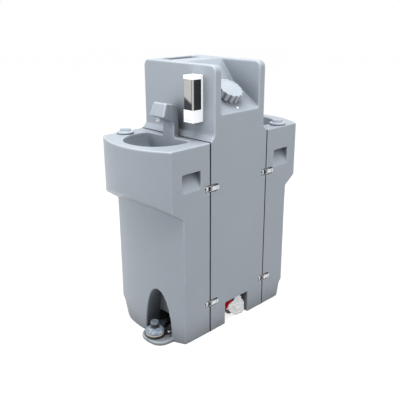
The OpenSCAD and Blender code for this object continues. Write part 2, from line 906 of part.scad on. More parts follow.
// Hose routes on the front side, from a pump port to the tank and to the spout
function port_point(angle, out) = [
    pump_x + (port_block.x + out) * cos(angle), (port_block.x + out) * sin(angle) - pump_y,
    shelf_t + port_axis_z
];
port_run = 16;
groove_y = section_y + groove_d / 2;
suction_start = port_point(port_angles[0], fitting_l + port_run);
suction_end = [port_x, -tower_y - fitting_l - port_run, port_z];
supply_start = port_point(port_angles[1], fitting_l + port_run);
supply_foot = [4, -groove_y, 90];
// Bends of the low hoses as X, share of the way back and Z
suction_bends = [[142, 0.131, shelf_t + 12], [134, 0.305, 40], [114, 0.653, 60], [99, 0.874, 69]];
supply_bends = [[62, 0.182, shelf_t + 13], [50, 0.402, 50], [30, 0.67, 58], [12, 0.874, 70]];
function bends(table, first, last) = [for (b = table) [b.x, between(first.y, last.y, b.y), b.z]];
suction_route = concat(
    [suction_start], bends(suction_bends, suction_start, suction_end), [suction_end]
);
supply_low = concat(
    [supply_start], bends(supply_bends, supply_start, supply_foot),
    [supply_foot, [0, -groove_y, 116], [0, -groove_y, 150]]
);
supply_high = [
    [0, -groove_y, deck_h + 40], [0, -groove_y, deck_h + 76], [0, -groove_y - 4, deck_h + 104],
    [0, -groove_y - 17, deck_h + 120], [0, -groove_y - 34, deck_h + 125]
];
nozzle_top = [
    0, -between(throat_y, lip_y, nozzle_share) + nozzle_shank_l * sin(throat_tilt),
    deck_h + between(throat_h, lip_h, nozzle_share) + nozzle_shank_l * cos(throat_tilt)
];
nozzle_lead = nozzle_top + 6 * [0, sin(throat_tilt), cos(throat_tilt)];

module suction_hose() color("#17181a") swept(
    concat(
        [port_point(port_angles[0], fitting_l)],
        smooth_route(suction_route, hose_steps),
        [[port_x, -tower_y - fitting_l, port_z]]
    ),
    hose_r, hose_sides
);
module supply_hose() color("#17181a") swept(
    concat(
        [port_point(port_angles[1], fitting_l)],
        smooth_route(supply_low, hose_steps),
        smooth_route(supply_high, hose_steps),
        [nozzle_lead, nozzle_top]
    ),
    hose_r, hose_sides
);
module front_suction_hose() suction_hose();
module rear_suction_hose() turned() suction_hose();
module front_supply_hose() supply_hose();
module rear_supply_hose() turned() supply_hose();

clamp_t = 1.2;
clamp_w = 9;
clamp_in = 4;
clamp_lug = [7, 9, 6];
module hose_clamp() translate([0, 0, fitting_l + clamp_in]) {
    ring(hose_r + seat_gap + clamp_t, hose_r + seat_gap, clamp_w);
    translate([-clamp_lug.x / 2, hose_r + seat_gap + clamp_t / 2, (clamp_w - clamp_lug.z) / 2])
        cube([clamp_lug.x, clamp_lug.y - hose_r / 2, clamp_lug.z]);
}
module hose_clamps() color("#d5d8dc") for (turn = [0, 180]) rotate([0, 0, turn]) {
    for (a = port_angles) at_port(a) rotate([0, 0, 180]) hose_clamp();
    translate([port_x, -tower_y, port_z]) rotate([90, 0, 0]) hose_clamp();
}

// Soap dispenser
soap_floor_t = 3;
soap_gap = 0.5;
soap_side_t = 2.5;
soap_bevel = 5;
soap_hinge_r = 4;
soap_hinge_gap = 0.5;
soap_pin_r = 1.5;
soap_lug_w = 3;
soap_mouth = [50, 4, 52];
soap_lever_out = 5;
soap_lever_t = 8;
soap_lever_z = [6, 50];
soap_lever_pivot = [10, 48];
soap_hinge_y = -soap_back_t - soap_hinge_gap - soap_hinge_r;
soap_hinge_z = soap_h - soap_hinge_r;
soap_lid_z = soap_h - soap_lid_h;
soap_hole_r = 5;
soap_tube_y = -36;
soap_bottle_gap = 2.5;
soap_neck_r = 9;
soap_neck_l = 14;

module soap_block(half_x, y0, y1, z0, z1) {
    block(-half_x, half_x, y0, y1, z0, z1);
}

module dispenser_shell() color("#f2f3f4") at_soap() {
    w = soap_w / 2;
    difference() {
        union() {
            soap_block(w, -soap_back_t, 0, 0, soap_h);
            soap_block(w, -soap_d, 0, 0, soap_cup_h);
        }
        soap_block(
            w - soap_wall, -soap_d + soap_wall, -soap_back_t,
            soap_wall, soap_cup_h - soap_floor_t
        );
        soap_block(soap_mouth.x / 2, -soap_d - over, -soap_d + 2 * over, soap_mouth.y, soap_mouth.z);
        translate([0, soap_tube_y, -over]) cylinder(r = soap_hole_r + run_gap, h = soap_wall + 2 * over);
        translate([0, soap_tube_y, soap_cup_h - soap_floor_t - over])
            cylinder(r = soap_neck_r + run_gap, h = soap_floor_t + 2 * over);
        soap_screw_places() translate([0, over, 0]) rotate([90, 0, 0])
            cylinder(r = soap_screw_r + rivet_gap, h = soap_back_t + 2 * over);
    }
    for (side = [0, 1]) mirror([side, 0, 0]) {
        hull_x = w - soap_lug_w;
        block(hull_x, w, soap_hinge_y, -soap_back_t, soap_hinge_z - soap_hinge_r, soap_hinge_z + soap_pin_r);
        translate([hull_x, soap_hinge_y, soap_hinge_z]) rotate([0, 90, 0])
            cylinder(r = soap_hinge_r, h = soap_lug_w);
    }
    translate([-w, soap_hinge_y, soap_hinge_z]) rotate([0, 90, 0]) cylinder(r = soap_pin_r, h = soap_w);
    translate([-w + soap_wall / 2, -soap_d + soap_lever_pivot.x, soap_lever_pivot.y]) rotate([0, 90, 0])
        cylinder(r = soap_pin_r, h = soap_w - soap_wall);
}
module front_dispenser_shell() dispenser_shell();
module rear_dispenser_shell() turned() dispenser_shell();

// Sealed soap bottle that stands on the shell's deck with its neck down through it
module soap_bottle() at_soap() {
    soap_block(
        soap_w / 2 - soap_side_t - soap_bottle_gap, -soap_d + soap_side_t + soap_bottle_gap,
        -soap_back_t - soap_bottle_gap, soap_cup_h, soap_lid_z - soap_bottle_gap
    );
    translate([0, soap_tube_y, soap_cup_h - soap_neck_l]) cylinder(r = soap_neck_r, h = soap_neck_l + soap_wall);
}
module soap_bottles() color("#cfd9e2") {
    soap_bottle();
    turned() soap_bottle();
}

// Front plate of a dispenser, with bevelled corners
module dispenser_front() at_soap() translate([0, 0, soap_cup_h]) {
    w = soap_w / 2;
    b = soap_bevel;
    t = soap_side_t;
    half = [
        [w, b - soap_d], [w - b, -soap_d], [b - w, -soap_d], [-w, b - soap_d],
        [t - w, b - soap_d], [b - w + t / 2, t - soap_d], [w - b - t / 2, t - soap_d], [w - t, b - soap_d]
    ];
    linear_extrude(soap_lid_z - soap_cup_h - soap_gap) polygon(half);
}
module dispenser_fronts() color("#aeb1b5") {
    dispenser_front();
    turned() dispenser_front();
}

module dispenser_side_pair() at_soap() for (side = [0, 1]) mirror([side, 0, 0])
    block(
        soap_w / 2 - soap_side_t, soap_w / 2, soap_bevel - soap_d, -soap_back_t,
        soap_cup_h, soap_lid_z - soap_gap
    );
module dispenser_sides() color("#15161a") {
    dispenser_side_pair();
    turned() dispenser_side_pair();
}

module dispenser_lid() color("#f4f5f6") at_soap() {
    w = soap_w / 2;
    narrow = w - soap_lug_w - soap_gap;
    front = soap_hinge_y - soap_hinge_r - soap_gap;
    difference() {
        union() {
            soap_block(w, -soap_d, front, soap_lid_z, soap_h);
            soap_block(narrow, front, soap_hinge_y, soap_lid_z, soap_h);
            soap_block(narrow, soap_hinge_y, -soap_back_t - soap_hinge_gap, soap_lid_z, soap_hinge_z);
            translate([-narrow, soap_hinge_y, soap_hinge_z]) rotate([0, 90, 0])
                cylinder(r = soap_hinge_r, h = 2 * narrow);
        }
        soap_block(
            w - soap_wall, -soap_d + soap_wall, front - soap_wall,
            soap_lid_z - over, soap_h - soap_wall
        );
        translate([-w, soap_hinge_y, soap_hinge_z]) rotate([0, 90, 0])
            cylinder(r = soap_pin_r + pin_gap, h = soap_w);
    }
}
module front_dispenser_lid() dispenser_lid();
module rear_dispenser_lid() turned() dispenser_lid();

module dispenser_lever() color("#f4f5f6") at_soap() {
    w = soap_mouth.x / 2 - soap_gap;
    y = -soap_d;
    z = soap_lever_z;
    pivot = [y + soap_lever_pivot.x, soap_lever_pivot.y];
    difference() {
        union() {
            along_x(-w, w) polygon([
                [y - soap_lever_out * 0.4, z[1]], [y - soap_lever_out, between(z[0], z[1], 0.8)],
                [y - soap_lever_out, between(z[0], z[1], 0.2)], [y - soap_lever_out * 0.4, z[0]],
                [y + soap_lever_t * 0.4, z[0]], [y + soap_lever_t * 0.4, between(z[0], z[1], 0.7)],
                [pivot.x, pivot.y - soap_hinge_r], [pivot.x, z[1]]
            ]);
            translate([-w, pivot.x, pivot.y]) rotate([0, 90, 0]) cylinder(r = soap_hinge_r, h = 2 * w);
        }
        translate([-w - over, pivot.x, pivot.y]) rotate([0, 90, 0])
            cylinder(r = soap_pin_r + pin_gap, h = 2 * (w + over));
    }
}
module front_dispenser_lever() dispenser_lever();
module rear_dispenser_lever() turned() dispenser_lever();

soap_pump_r = 8;
soap_pump_z = [20, 43];
soap_tube_l = 6;
module soap_spout() at_soap() translate([0, soap_tube_y, 0]) {
    translate([0, 0, soap_pump_z[0]]) cylinder(r = soap_pump_r, h = soap_pump_z[1] - soap_pump_z[0]);
    translate([0, 0, -soap_tube_l]) cylinder(r = soap_hole_r, h = soap_pump_z[0] + soap_tube_l);
}
module soap_spouts() color("#f2f3f4") {
    soap_spout();
    turned() soap_spout();
}

module dispenser_screw_set() at_soap() soap_screw_places() {
    translate([0, -soap_back_t, 0]) rotate([-90, 0, 0]) cylinder(r = soap_screw_r, h = soap_back_t + soap_screw_l);
    translate([0, -soap_back_t - soap_head_t, 0]) rotate([-90, 0, 0]) cylinder(r = soap_head_r, h = soap_head_t);
}
module dispenser_screws() color("#b9bec4") {
    dispenser_screw_set();
    turned() dispenser_screw_set();
}

// Drain valve in its bay, in a frame with Z out of the side
valve_y = -16;
valve_z = 52;
valve_pipe_r = 14;
valve_flange_r = 20;
valve_flange_t = 5;
valve_body_r = 17;
valve_body_z = [22, 48];
valve_bonnet_r = 10;
valve_bonnet_z = 60;
valve_stem_r = 4;
valve_outlet_r = 11;
valve_outlet_l = 32;
valve_collar_r = 14;
valve_collar_l = 19;
valve_bore_r = 8;
wheel_z = [66, 78];
wheel_hub_r = 11;
wheel_rim_w = 9;
wheel_web_t = 4;
wheel_holes = 5;
wheel_hole_r = 6;
module at_valve() {
    translate([half_w - notch_deep, valve_y, valve_z]) rotate([0, 90, 0]) children();
}
module drain_valve_body() color("#c9b98a") at_valve() difference() {
    union() {
        cylinder(r = valve_flange_r, h = valve_flange_t);
        cylinder(r = valve_pipe_r, h = valve_body_z[1]);
        translate([0, 0, valve_body_z[0]]) cylinder(r = valve_body_r, h = valve_body_z[1] - valve_body_z[0]);
        cylinder(r = valve_bonnet_r, h = valve_bonnet_z);
        cylinder(r = valve_stem_r, h = wheel_z[1] - run_gap);
        translate([0, 0, (valve_body_z[0] + valve_body_z[1]) / 2]) rotate([0, 90, 0]) {
            cylinder(r = valve_outlet_r, h = valve_outlet_l);
            cylinder(r = valve_collar_r, h = valve_collar_l);
        }
    }
    translate([0, 0, -over]) cylinder(r = valve_bore_r, h = (valve_body_z[0] + valve_body_z[1]) / 2 + over);
    translate([0, 0, (valve_body_z[0] + valve_body_z[1]) / 2]) rotate([0, 90, 0])
        cylinder(r = valve_bore_r, h = valve_outlet_l + over);
}

module drain_valve_handle() color("#b3121c") at_valve() translate([0, 0, wheel_z[0]]) {
    h = wheel_z[1] - wheel_z[0];
    ring(handle_r, handle_r - wheel_rim_w, h);
    difference() {
        union() {
            cylinder(r = wheel_hub_r, h = h);
            translate([0, 0, (h - wheel_web_t) / 2]) cylinder(r = handle_r - wheel_rim_w / 2, h = wheel_web_t);
        }
        translate([0, 0, -over]) {
            cylinder(r = valve_stem_r + pin_gap, h = h + 2 * over);
            for (i = [1 : wheel_holes]) rotate([0, 0, 360 * i / wheel_holes])
                translate([(wheel_hub_r + handle_r - wheel_rim_w) / 2, 0, 0])
                    cylinder(r = wheel_hole_r, h = h + 2 * over);
        }
    }
}

// Loose plastic bag that hangs over the handwheel and stands on the floor
bag_y = 15;
bag_w = 124;
bag_h = 118;
bag_gap = 0.5;
bag_t = 27;
bag_layers = 3;
bag_crown = 0.86;
bag_shares = [
    [0.02, 0], [0.28, 0], [0.42, 0.12], [0.5, 0.34], [0.44, 0.62], [0.27, 0.88], [0.08, 1],
    [-0.1, 0.99], [-0.28, 0.86], [-0.44, 0.6], [-0.5, 0.4], [-0.36, 0.16]
];
module drain_bag() color("#eef0f2")
    for (i = [0 : bag_layers - 1]) let (
        k = i == 1 ? 1 : bag_crown,
        x = half_w - notch_deep + wheel_z[1] + bag_gap + i * bag_t / bag_layers
    )
        along_x(x, x + bag_t / bag_layers)
            polygon([for (q = bag_shares) [bag_y + q.x * bag_w * k, q.y * bag_h * k]]);

// Latches
latch_floor = -latch_pocket_t;
latch_top = latch_floor + latch_plate_t;
// Room for plates inside the pocket's rounded outline
module latch_pocket_room() {
    r = latch_pocket_h / 2;
    ends = [-latch_strike_end + r, latch_lever_end - r];
    translate([latch_floor, 0, 0]) rotate([0, 90, 0]) linear_extrude(latch_plate_t) {
        for (y = ends) translate([0, y]) circle(r = r - latch_plate_gap);
        translate([latch_plate_gap - r, ends[0]]) square([2 * (r - latch_plate_gap), ends[1] - ends[0]]);
    }
}
module latch_plate_set() difference() {
    union() {
        for (y = [latch_strike_y, latch_base_y]) intersection() {
            block(latch_floor, latch_top, y[0], y[1], -latch_plate_h / 2, latch_plate_h / 2);
            latch_pocket_room();
        }
        hook = latch_cross_y + latch_wire_r + latch_hook_gap;
        block(
            latch_floor, latch_pivot.x + latch_wire_r + latch_hook_gap, hook, hook + latch_hook_l,
            -latch_hook_w / 2, latch_hook_w / 2
        );
        for (side = [0, 1]) mirror([0, 0, side]) translate([0, 0, latch_ear_z]) {
            block(
                latch_floor, latch_pivot.x, latch_pivot.y - latch_ear_r, latch_pivot.y + latch_ear_r,
                0, latch_ear_t
            );
            translate([latch_pivot.x, latch_pivot.y, 0]) cylinder(r = latch_ear_r, h = latch_ear_t);
        }
        pin_l = latch_cheek_z + latch_cheek_t + run_gap;
        translate([latch_pivot.x, latch_pivot.y, -pin_l]) cylinder(r = latch_pin_r, h = 2 * pin_l);
    }
    for (y = rivet_ys) translate([latch_floor - over, y, 0]) rotate([0, 90, 0])
        cylinder(r = rivet_r + rivet_gap, h = latch_plate_t + 2 * over);
}
module latch_plates() color("#d7dadd") for (l = LATCHES) at_latch(l) latch_plate_set();

module latch_rivets() color("#d7dadd") for (l = LATCHES) at_latch(l)
    for (y = rivet_ys) translate([latch_floor - rivet_in, y, 0]) rotate([0, 90, 0]) {
        cylinder(r = rivet_r, h = rivet_in + latch_plate_t);
        translate([0, 0, rivet_in + latch_plate_t]) cylinder(r = rivet_head_r, h = rivet_head_t);
    }

// Handle of a latch: a strap on two cheeks that turn on the pin and carry the loop
module latch_lever(l) color("#e1e3e5") at_latch(l) translate([latch_pivot.x, latch_pivot.y, 0])
    difference() {
        union() {
            w = latch_cheek_z + latch_cheek_t;
            block(
                latch_strap_lift, latch_strap_lift + latch_strap_t,
                run_gap, run_gap + latch_strap_l, -w, w
            );
            for (side = [0, 1]) mirror([0, 0, side]) {
                translate([0, 0, latch_cheek_z]) {
                    cylinder(r = latch_cheek_r, h = latch_cheek_t);
                    block(-latch_ear_r, latch_strap_lift + latch_strap_t / 2, 0, latch_throw, 0, latch_cheek_t);
                }
                translate([0, latch_throw, latch_cheek_z])
                    cylinder(r = latch_wire_r, h = latch_wire_z + latch_eye_h / 2 + run_gap - latch_cheek_z);
            }
        }
        translate([0, 0, -latch_wire_z]) cylinder(r = latch_pin_r + pin_gap, h = 2 * latch_wire_z);
        translate([0, latch_strap_l - padlock_in, 0]) rotate([0, 90, 0])
            cylinder(r = padlock_r, h = latch_strap_lift + latch_strap_t + over);
    }

// Wire loop of a latch, from its eyes on the lever to the crossbar behind the hook
module latch_loop(l) color("#e1e3e5") at_latch(l) {
    eye = latch_pivot + [0, latch_throw];
    for (side = [0, 1]) mirror([0, 0, side]) difference() {
        union() {
            translate([eye.x, eye.y, latch_wire_z - latch_eye_h / 2])
                cylinder(r = latch_eye_r, h = latch_eye_h);
            translate([eye.x, latch_cross_y, latch_wire_z]) rotate([-90, 0, 0])
                cylinder(r = latch_wire_r, h = eye.y - latch_cross_y);
        }
        translate([eye.x, eye.y, latch_wire_z - latch_eye_h])
            cylinder(r = latch_wire_r + pin_gap, h = 2 * latch_eye_h);
    }
    translate([eye.x, latch_cross_y, -latch_wire_z - latch_wire_r])
        cylinder(r = latch_wire_r, h = 2 * (latch_wire_z + latch_wire_r));
}

fresh_water_tank();
fill_cap();
fill_cap_gasket();
vent_plug();
front_waste_tank();
rear_waste_tank();
front_waste_cap();
rear_waste_cap();
front_waste_cap_seal();
rear_waste_cap_seal();
drain_strainers();
spout_nozzles();
front_supply_hose();
rear_supply_hose();
front_suction_hose();
rear_suction_hose();
hose_clamps();
hose_fittings();
front_pump_base();
rear_pump_base();
pump_clamp_rings();
front_pump_diaphragm();
rear_pump_diaphragm();
front_pump_knob();
rear_pump_knob();
front_pump_spring();
rear_pump_spring();
pump_screws();
front_dispenser_shell();
rear_dispenser_shell();
soap_bottles();
dispenser_fronts();
dispenser_sides();
front_dispenser_lid();
rear_dispenser_lid();
front_dispenser_lever();
rear_dispenser_lever();
soap_spouts();
dispenser_screws();
drain_valve_body();
drain_valve_handle();
drain_bag();
latch_plates();
latch_rivets();
for (l = LATCHES) latch_lever(l);
for (l = LATCHES) latch_loop(l);
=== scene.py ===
"""Looks of a portable handwash station with a basin, a foot pump and a soap dispenser on each side."""

import json
import math
from functools import partialmethod

import bmesh
import bpy
import numpy as np
from bpy.props import FloatProperty, FloatVectorProperty, IntProperty, PointerProperty
from mathutils import Matrix, Quaternion, Vector, noise
from mathutils.bvhtree import BVHTree

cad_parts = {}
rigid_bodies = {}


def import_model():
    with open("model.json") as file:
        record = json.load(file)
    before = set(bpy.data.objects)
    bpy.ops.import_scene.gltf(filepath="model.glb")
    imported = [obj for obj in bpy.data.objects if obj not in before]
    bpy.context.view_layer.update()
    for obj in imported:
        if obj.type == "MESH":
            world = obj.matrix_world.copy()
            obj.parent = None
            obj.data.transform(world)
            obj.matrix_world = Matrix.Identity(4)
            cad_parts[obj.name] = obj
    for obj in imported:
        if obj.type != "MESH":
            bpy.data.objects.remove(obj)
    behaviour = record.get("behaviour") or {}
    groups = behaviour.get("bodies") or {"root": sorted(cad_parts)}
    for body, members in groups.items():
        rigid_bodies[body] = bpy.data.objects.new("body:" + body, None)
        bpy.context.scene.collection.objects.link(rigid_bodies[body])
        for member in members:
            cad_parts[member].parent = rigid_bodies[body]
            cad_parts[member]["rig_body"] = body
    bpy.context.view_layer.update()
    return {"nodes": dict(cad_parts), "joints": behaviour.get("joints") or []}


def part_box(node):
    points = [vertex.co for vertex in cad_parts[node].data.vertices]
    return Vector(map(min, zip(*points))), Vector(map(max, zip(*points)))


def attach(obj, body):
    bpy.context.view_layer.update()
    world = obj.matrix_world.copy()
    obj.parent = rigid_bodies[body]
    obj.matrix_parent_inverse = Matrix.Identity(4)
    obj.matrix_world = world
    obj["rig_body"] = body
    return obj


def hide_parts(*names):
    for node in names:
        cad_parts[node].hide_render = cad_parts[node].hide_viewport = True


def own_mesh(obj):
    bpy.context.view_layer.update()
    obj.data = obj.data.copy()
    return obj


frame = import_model()

bl_info = {
    "name": "Portable handwash station",
    "version": (1, 0, 0),
    "blender": (4, 5, 0),
    "location": "View3D > Sidebar > Station",
    "description": "Tanks, caps, foot pumps, hoses, dispensers, valve and latches of a handwash station",
    "category": "Add Mesh",
}

HALF_TURN = Matrix.Rotation(math.pi, 4, "Z")
SIDES = ("front", "rear")
SMOOTH_BELOW = math.radians(38)
WELD = 1e-5
MERGE = 1e-7
CUT_SHARE = 0.45
RAYS = 120
CLEAR = 2e-5
OUTWARD = 0.05


# Properties


def linear(rgb):
    """Scene-linear colour of a 0 to 255 one."""
    shares = [c / 255 for c in rgb]
    return tuple(c / 12.92 if c <= 0.04045 else ((c + 0.055) / 1.055) ** 2.4 for c in shares)


def colour(name, description, rgb):
    return FloatVectorProperty(
        name=name, description=description, default=linear(rgb), min=0, max=1, size=3, subtype="COLOR"
    )


def length(name, description, default):
    return FloatProperty(name=name, description=description, default=default, min=0, unit="LENGTH")


def count(name, description, default):
    return IntProperty(name=name, description=description, default=default, min=1)


def number(name, description, default):
    return FloatProperty(name=name, description=description, default=default, min=0)


class StationColours(bpy.types.PropertyGroup):
    """Colours of the station's materials"""

    tank: colour("Tank", "Moulded plastic of the three tanks", (175, 184, 194))
    # Painted highlight along the tanks' edges and painted shade in their inner corners.
    tank_edge_highlight: colour("Tank edges", "Paler plastic along the tanks' edges", (232, 239, 246))
    tank_corner_shade: colour("Tank corners", "Darker plastic in the tanks' inner corners", (84, 91, 99))
    # Painted shade in the gaps between the tanks.
    seam: colour("Seam", "Dark line between the tanks", (62, 68, 76))
    waste_cap: colour("Waste cap", "Plastic of the caps on the decks", (188, 197, 207))
    fill_cap: colour("Fill cap", "Pale plastic of the fill cap", (190, 200, 210))
    # Painted highlight on the fill cap's lobes; its hollows get painted shade.
    cap_lobe_highlight: colour("Cap lobes", "Plastic on the fill cap's lobes", (200, 206, 212))
    cap_hollow: colour("Cap hollows", "Shade between the fill cap's lobes", (128, 134, 141))
    rubber: colour("Rubber", "Black rubber of hoses and seals", (21, 22, 24))
    white: colour("White plastic", "Dispenser covers and vents", (250, 251, 252))
    nozzle: colour("Nozzle", "Water nozzles under the spouts", (206, 212, 218))
    steel: colour("Steel", "Latches, screws and clamps", (204, 206, 208))
    # Painted reflection on a dispenser's polished front: pale at the top, dark at the foot.
    bright: colour("Bright front", "Top of a dispenser's polished front plate", (188, 187, 184))
    dark_reflection: colour("Bright front, low", "Foot of a dispenser's polished front plate", (62, 63, 68))
    black: colour("Black plastic", "Body of a foot pump", (25, 27, 30))
    dome: colour("Dome", "Rubber dome of a foot pump", (140, 155, 176))
    # Pale patches in clouds on the dome.
    dome_wear: colour("Dome wear", "Rubbed patches on the dome", (206, 215, 225))
    knob: colour("Knob", "Foot knob on the dome", (124, 134, 148))
    ring: colour("Clamp ring", "Ring that holds the dome down", (222, 216, 198))
    bottle: colour("Bottle", "Soap bottle", (205, 214, 222))
    gloss: colour("Gloss black", "Sides of a dispenser", (8, 8, 11))
    brass: colour("Valve", "Body of the drain valve", (184, 160, 104))
    wheel: colour("Handwheel", "Red wheel of the drain valve", (232, 8, 24))
    # Painted shade on the handwheel's lower half.
    wheel_lower_shade: colour("Handwheel's foot", "Grime on the wheel's lower half", (66, 50, 54))
    film: colour("Film", "Loose bag over the handwheel", (249, 250, 252))
    dust: colour("Dust", "Grime near the floor", (122, 122, 118))


class MouldingSizes(bpy.types.PropertyGroup):
    """Rounding of the moulded tanks"""

    voxel: length("Grid", "Grid on which a tank's wall is rounded", 0.003)
    passes: count("Passes", "Rounding passes over every edge", 20)
    corner_passes: count("Corner passes", "Further passes on the lower body's corners", 25)
    faces: count("Faces", "Triangles left on each tank", 170000)
    corner_reach: length("Corner reach", "How far round a corner the further passes go", 0.045)
    body_corner: length("Body corner", "Distance of the lower body's corners from the centre", 0.369)
    body_top: length("Body top", "Height up to which the lower body is straight", 0.60)
    seam_reach: length("Seam reach", "How far from a seam its edges stay crisp", 0.012)
    pocket_margin: length("Pocket margin", "How far round a latch its pocket stays crisp", 0.016)
    cover_voxel: length("Cover grid", "Grid on which small covers are rounded", 0.0007)
    cover_passes: count("Cover passes", "Rounding passes over the edges of small covers", 9)
    cover_faces: count("Cover faces", "Triangles left on each small cover", 24000)


class CapSizes(bpy.types.PropertyGroup):
    """Form of the fill cap and the waste caps"""

    lobes: count("Lobes", "Finger lobes round the fill cap", 14)
    lobe_depth: length("Lobe depth", "Depth of the hollows between the lobes", 0.006)
    radius: length("Radius", "Radius of the fill cap over its lobes", 0.065)
    bore: length("Bore", "Radius inside the fill cap's skirt", 0.0555)
    lift: length("Lift", "Height of the fill cap's foot over the recess floor", 0.009)
    height: length("Height", "Height of the fill cap", 0.042)
    top: length("Top", "Thickness of the fill cap's top", 0.009)
    dish_radius: length("Dish radius", "Radius of the dish in the fill cap's top", 0.05)
    dish_depth: length("Dish depth", "Depth of the fill cap's dish", 0.0014)
    edge: length("Edge", "Rounding of the fill cap's rim", 0.004)
    plug_radius: length("Plug radius", "Radius of a waste cap's plug", 0.031)
    flange: length("Flange", "Thickness of a waste cap's flange", 0.008)
    bar_length: length("Bar length", "Length of the lifting bar", 0.052)
    bar_width: length("Bar width", "Width of the lifting bar", 0.015)
    bar_turn: FloatProperty(
        name="Bar turn", description="Turn of the lifting bar", default=math.radians(45), subtype="ANGLE"
    )


class PumpSizes(bpy.types.PropertyGroup):
    """Form of the foot pumps"""

    neck_radius: length("Neck radius", "Radius of the black neck under the knob", 0.0200)
    head_height: length("Head height", "Height of the knob's head", 0.014)
    head_edge: length("Head edge", "Rounding of the knob's edge", 0.0032)
    head_dish: length("Head dish", "Depth of the hollow in the knob's top", 0.0012)
    rim_radius: length("Rim radius", "Radius up to which the clamp ring is black", 0.0385)
    collar: length("Collar", "Height of the rubber collar at the neck's foot", 0.005)
    dome_keep: number("Dome keep", "Share of the dome's height when pressed", 0.42)
    spring_keep: number("Spring keep", "Share of the spring's height when pressed", 0.6)


class HoseSizes(bpy.types.PropertyGroup):
    """Hoses, clamps and fittings"""

    radius: length("Radius", "Radius of a hose", 0.0065)
    steps: count("Steps", "Points on a hose between two of its route", 6)


class BagSizes(bpy.types.PropertyGroup):
    """Loose bag over the handwheel"""

    crumple: length("Crumple", "Depth of the large folds in the film", 0.014)
    crease: length("Crease", "Depth of the small creases in the film", 0.0036)
    levels: count("Levels", "Times that the bag's first faces are divided", 6)


class StageSettings(bpy.types.PropertyGroup):
    """Camera, floor and lights"""

    lens: number("Lens", "Focal length in mm on a 36 mm sensor", 52.129)
    sky: number("Sky", "Strength of the even light from all round", 0.46)
    top: number("Top light", "Power of the lamp overhead in watts", 75.0)
    key: number("Key light", "Power of the lamp in front in watts", 26.0)
    side: number("Side light", "Power of the lamp at the side in watts", 14.0)


# Shader nodes


GREY = (0.5, 0.5, 0.5, 1)


def connect(tree, socket, value):
    """Give a socket a plain value, or link it to a field or to another socket."""
    value = getattr(value, "socket", value)
    if isinstance(value, bpy.types.NodeSocket):
        tree.links.new(value, socket)
    elif socket.type == "RGBA" and len(value) == 3:
        socket.default_value = (*value, 1)
    else:
        socket.default_value = value


def add_node(tree, kind, inputs, **settings):
    """New node with its settings; each input is found by its name or its place."""
    node = tree.nodes.new("ShaderNode" + kind)
    for name, value in settings.items():
        setattr(node, name, value)
    for label, value in inputs.items():
        connect(tree, node.inputs[label], value)
    return node


class Field:
    """Number that varies over a surface; its arithmetic adds Math nodes to the tree."""

    def __init__(self, tree, socket):
        self.tree, self.socket = tree, socket

    def math(self, operation, *others):
        """Result of a Math node on this number and others."""
        values = dict(enumerate((self, *others)))
        return Field(self.tree, add_node(self.tree, "Math", values, operation=operation).outputs[0])

    def clamped(self):
        """The same number, kept between 0 and 1."""
        self.socket.node.use_clamp = True
        return self

    def __rsub__(self, other):
        node = add_node(self.tree, "Math", {0: other, 1: self}, operation="SUBTRACT")
        return Field(self.tree, node.outputs[0])

    __add__ = partialmethod(math, "ADD")
    __sub__ = partialmethod(math, "SUBTRACT")
    __mul__ = partialmethod(math, "MULTIPLY")
    __truediv__ = partialmethod(math, "DIVIDE")
    __pow__ = partialmethod(math, "POWER")
    __abs__ = partialmethod(math, "ABSOLUTE")


def object_place(tree):
    """The piece's own coordinates."""
    return tree.nodes.new("ShaderNodeTexCoord").outputs["Object"]


def split_place(tree):
    """The piece's own coordinates as three fields."""
    split = add_node(tree, "SeparateXYZ", {0: object_place(tree)})
    return [Field(tree, socket) for socket in split.outputs]


def clouds(tree, scale, detail=3.0, stretch=None):
    """Noise over the piece's own coordinates, drawn out along an axis whose stretch is small."""
    place = object_place(tree)
    if stretch:
        place = add_node(tree, "Mapping", {"Vector": place, "Scale": stretch}).outputs["Vector"]
    texture = add_node(tree, "TexNoise", {"Vector": place, "Scale": scale, "Detail": detail})
    return Field(tree, texture.outputs["Fac"])


def ramp(tree, value, low, high, **settings):
    """Field that rises from 0 to 1 while a value goes from low to high."""
    node = add_node(tree, "MapRange", {"Value": value, "From Min": low, "From Max": high}, **settings)
    return Field(tree, node.outputs["Result"])


def vector_maths(tree, operation, *vectors):
    """The outputs of a Vector Math node."""
    return add_node(tree, "VectorMath", dict(enumerate(vectors)), operation=operation).outputs


def mix_colours(tree, share, first, second):
    """Colour between two, by a share."""
    node = add_node(tree, "Mix", {}, data_type="RGBA")
    sockets = {socket.identifier: socket for socket in (*node.inputs, *node.outputs)}
    for label, value in (("Factor_Float", share), ("A_Color", first), ("B_Color", second)):
        connect(tree, sockets[label], value)
    return sockets["Result_Color"]


def tinted(tree, base, value):
    """A colour made brighter or darker."""
    return add_node(tree, "HueSaturation", {"Color": base, "Value": value}).outputs["Color"]


# Shader groups


OPEN_SHARE = 0.78
FLAT_TURN = (0.496, 0.504)


def shader_group(result, **inputs):
    """Make a function of named inputs into a shader group with one result, built when first needed."""

    def build(name, fill):
        tree = bpy.data.node_groups.new(name, "ShaderNodeTree")
        for label, value in inputs.items():
            kind = "NodeSocketFloat" if isinstance(value, float) else "NodeSocketColor"
            tree.interface.new_socket(name=label, in_out="INPUT", socket_type=kind).default_value = value
        kind = "NodeSocketColor" if result == "Colour" else "NodeSocketFloat"
        tree.interface.new_socket(name=result, in_out="OUTPUT", socket_type=kind)
        given = tree.nodes.new("NodeGroupInput").outputs
        found = fill(tree, *(Field(tree, given[label]) for label in inputs))
        connect(tree, tree.nodes.new("NodeGroupOutput").inputs[result], found)
        return tree

    def shared(fill):
        name = fill.__name__.replace("_", " ").capitalize()
        return lambda: bpy.data.node_groups.get(name) or build(name, fill)

    return shared


@shader_group("Colour", Colour=GREY, Drift=0.1, Scale=6.0)
def colour_drift(tree, base, drift, scale):
    """Slow light and dark clouds in a plastic's colour."""
    return tinted(tree, base, (clouds(tree, scale) - 0.5) * drift * 2.0 + 1.0)


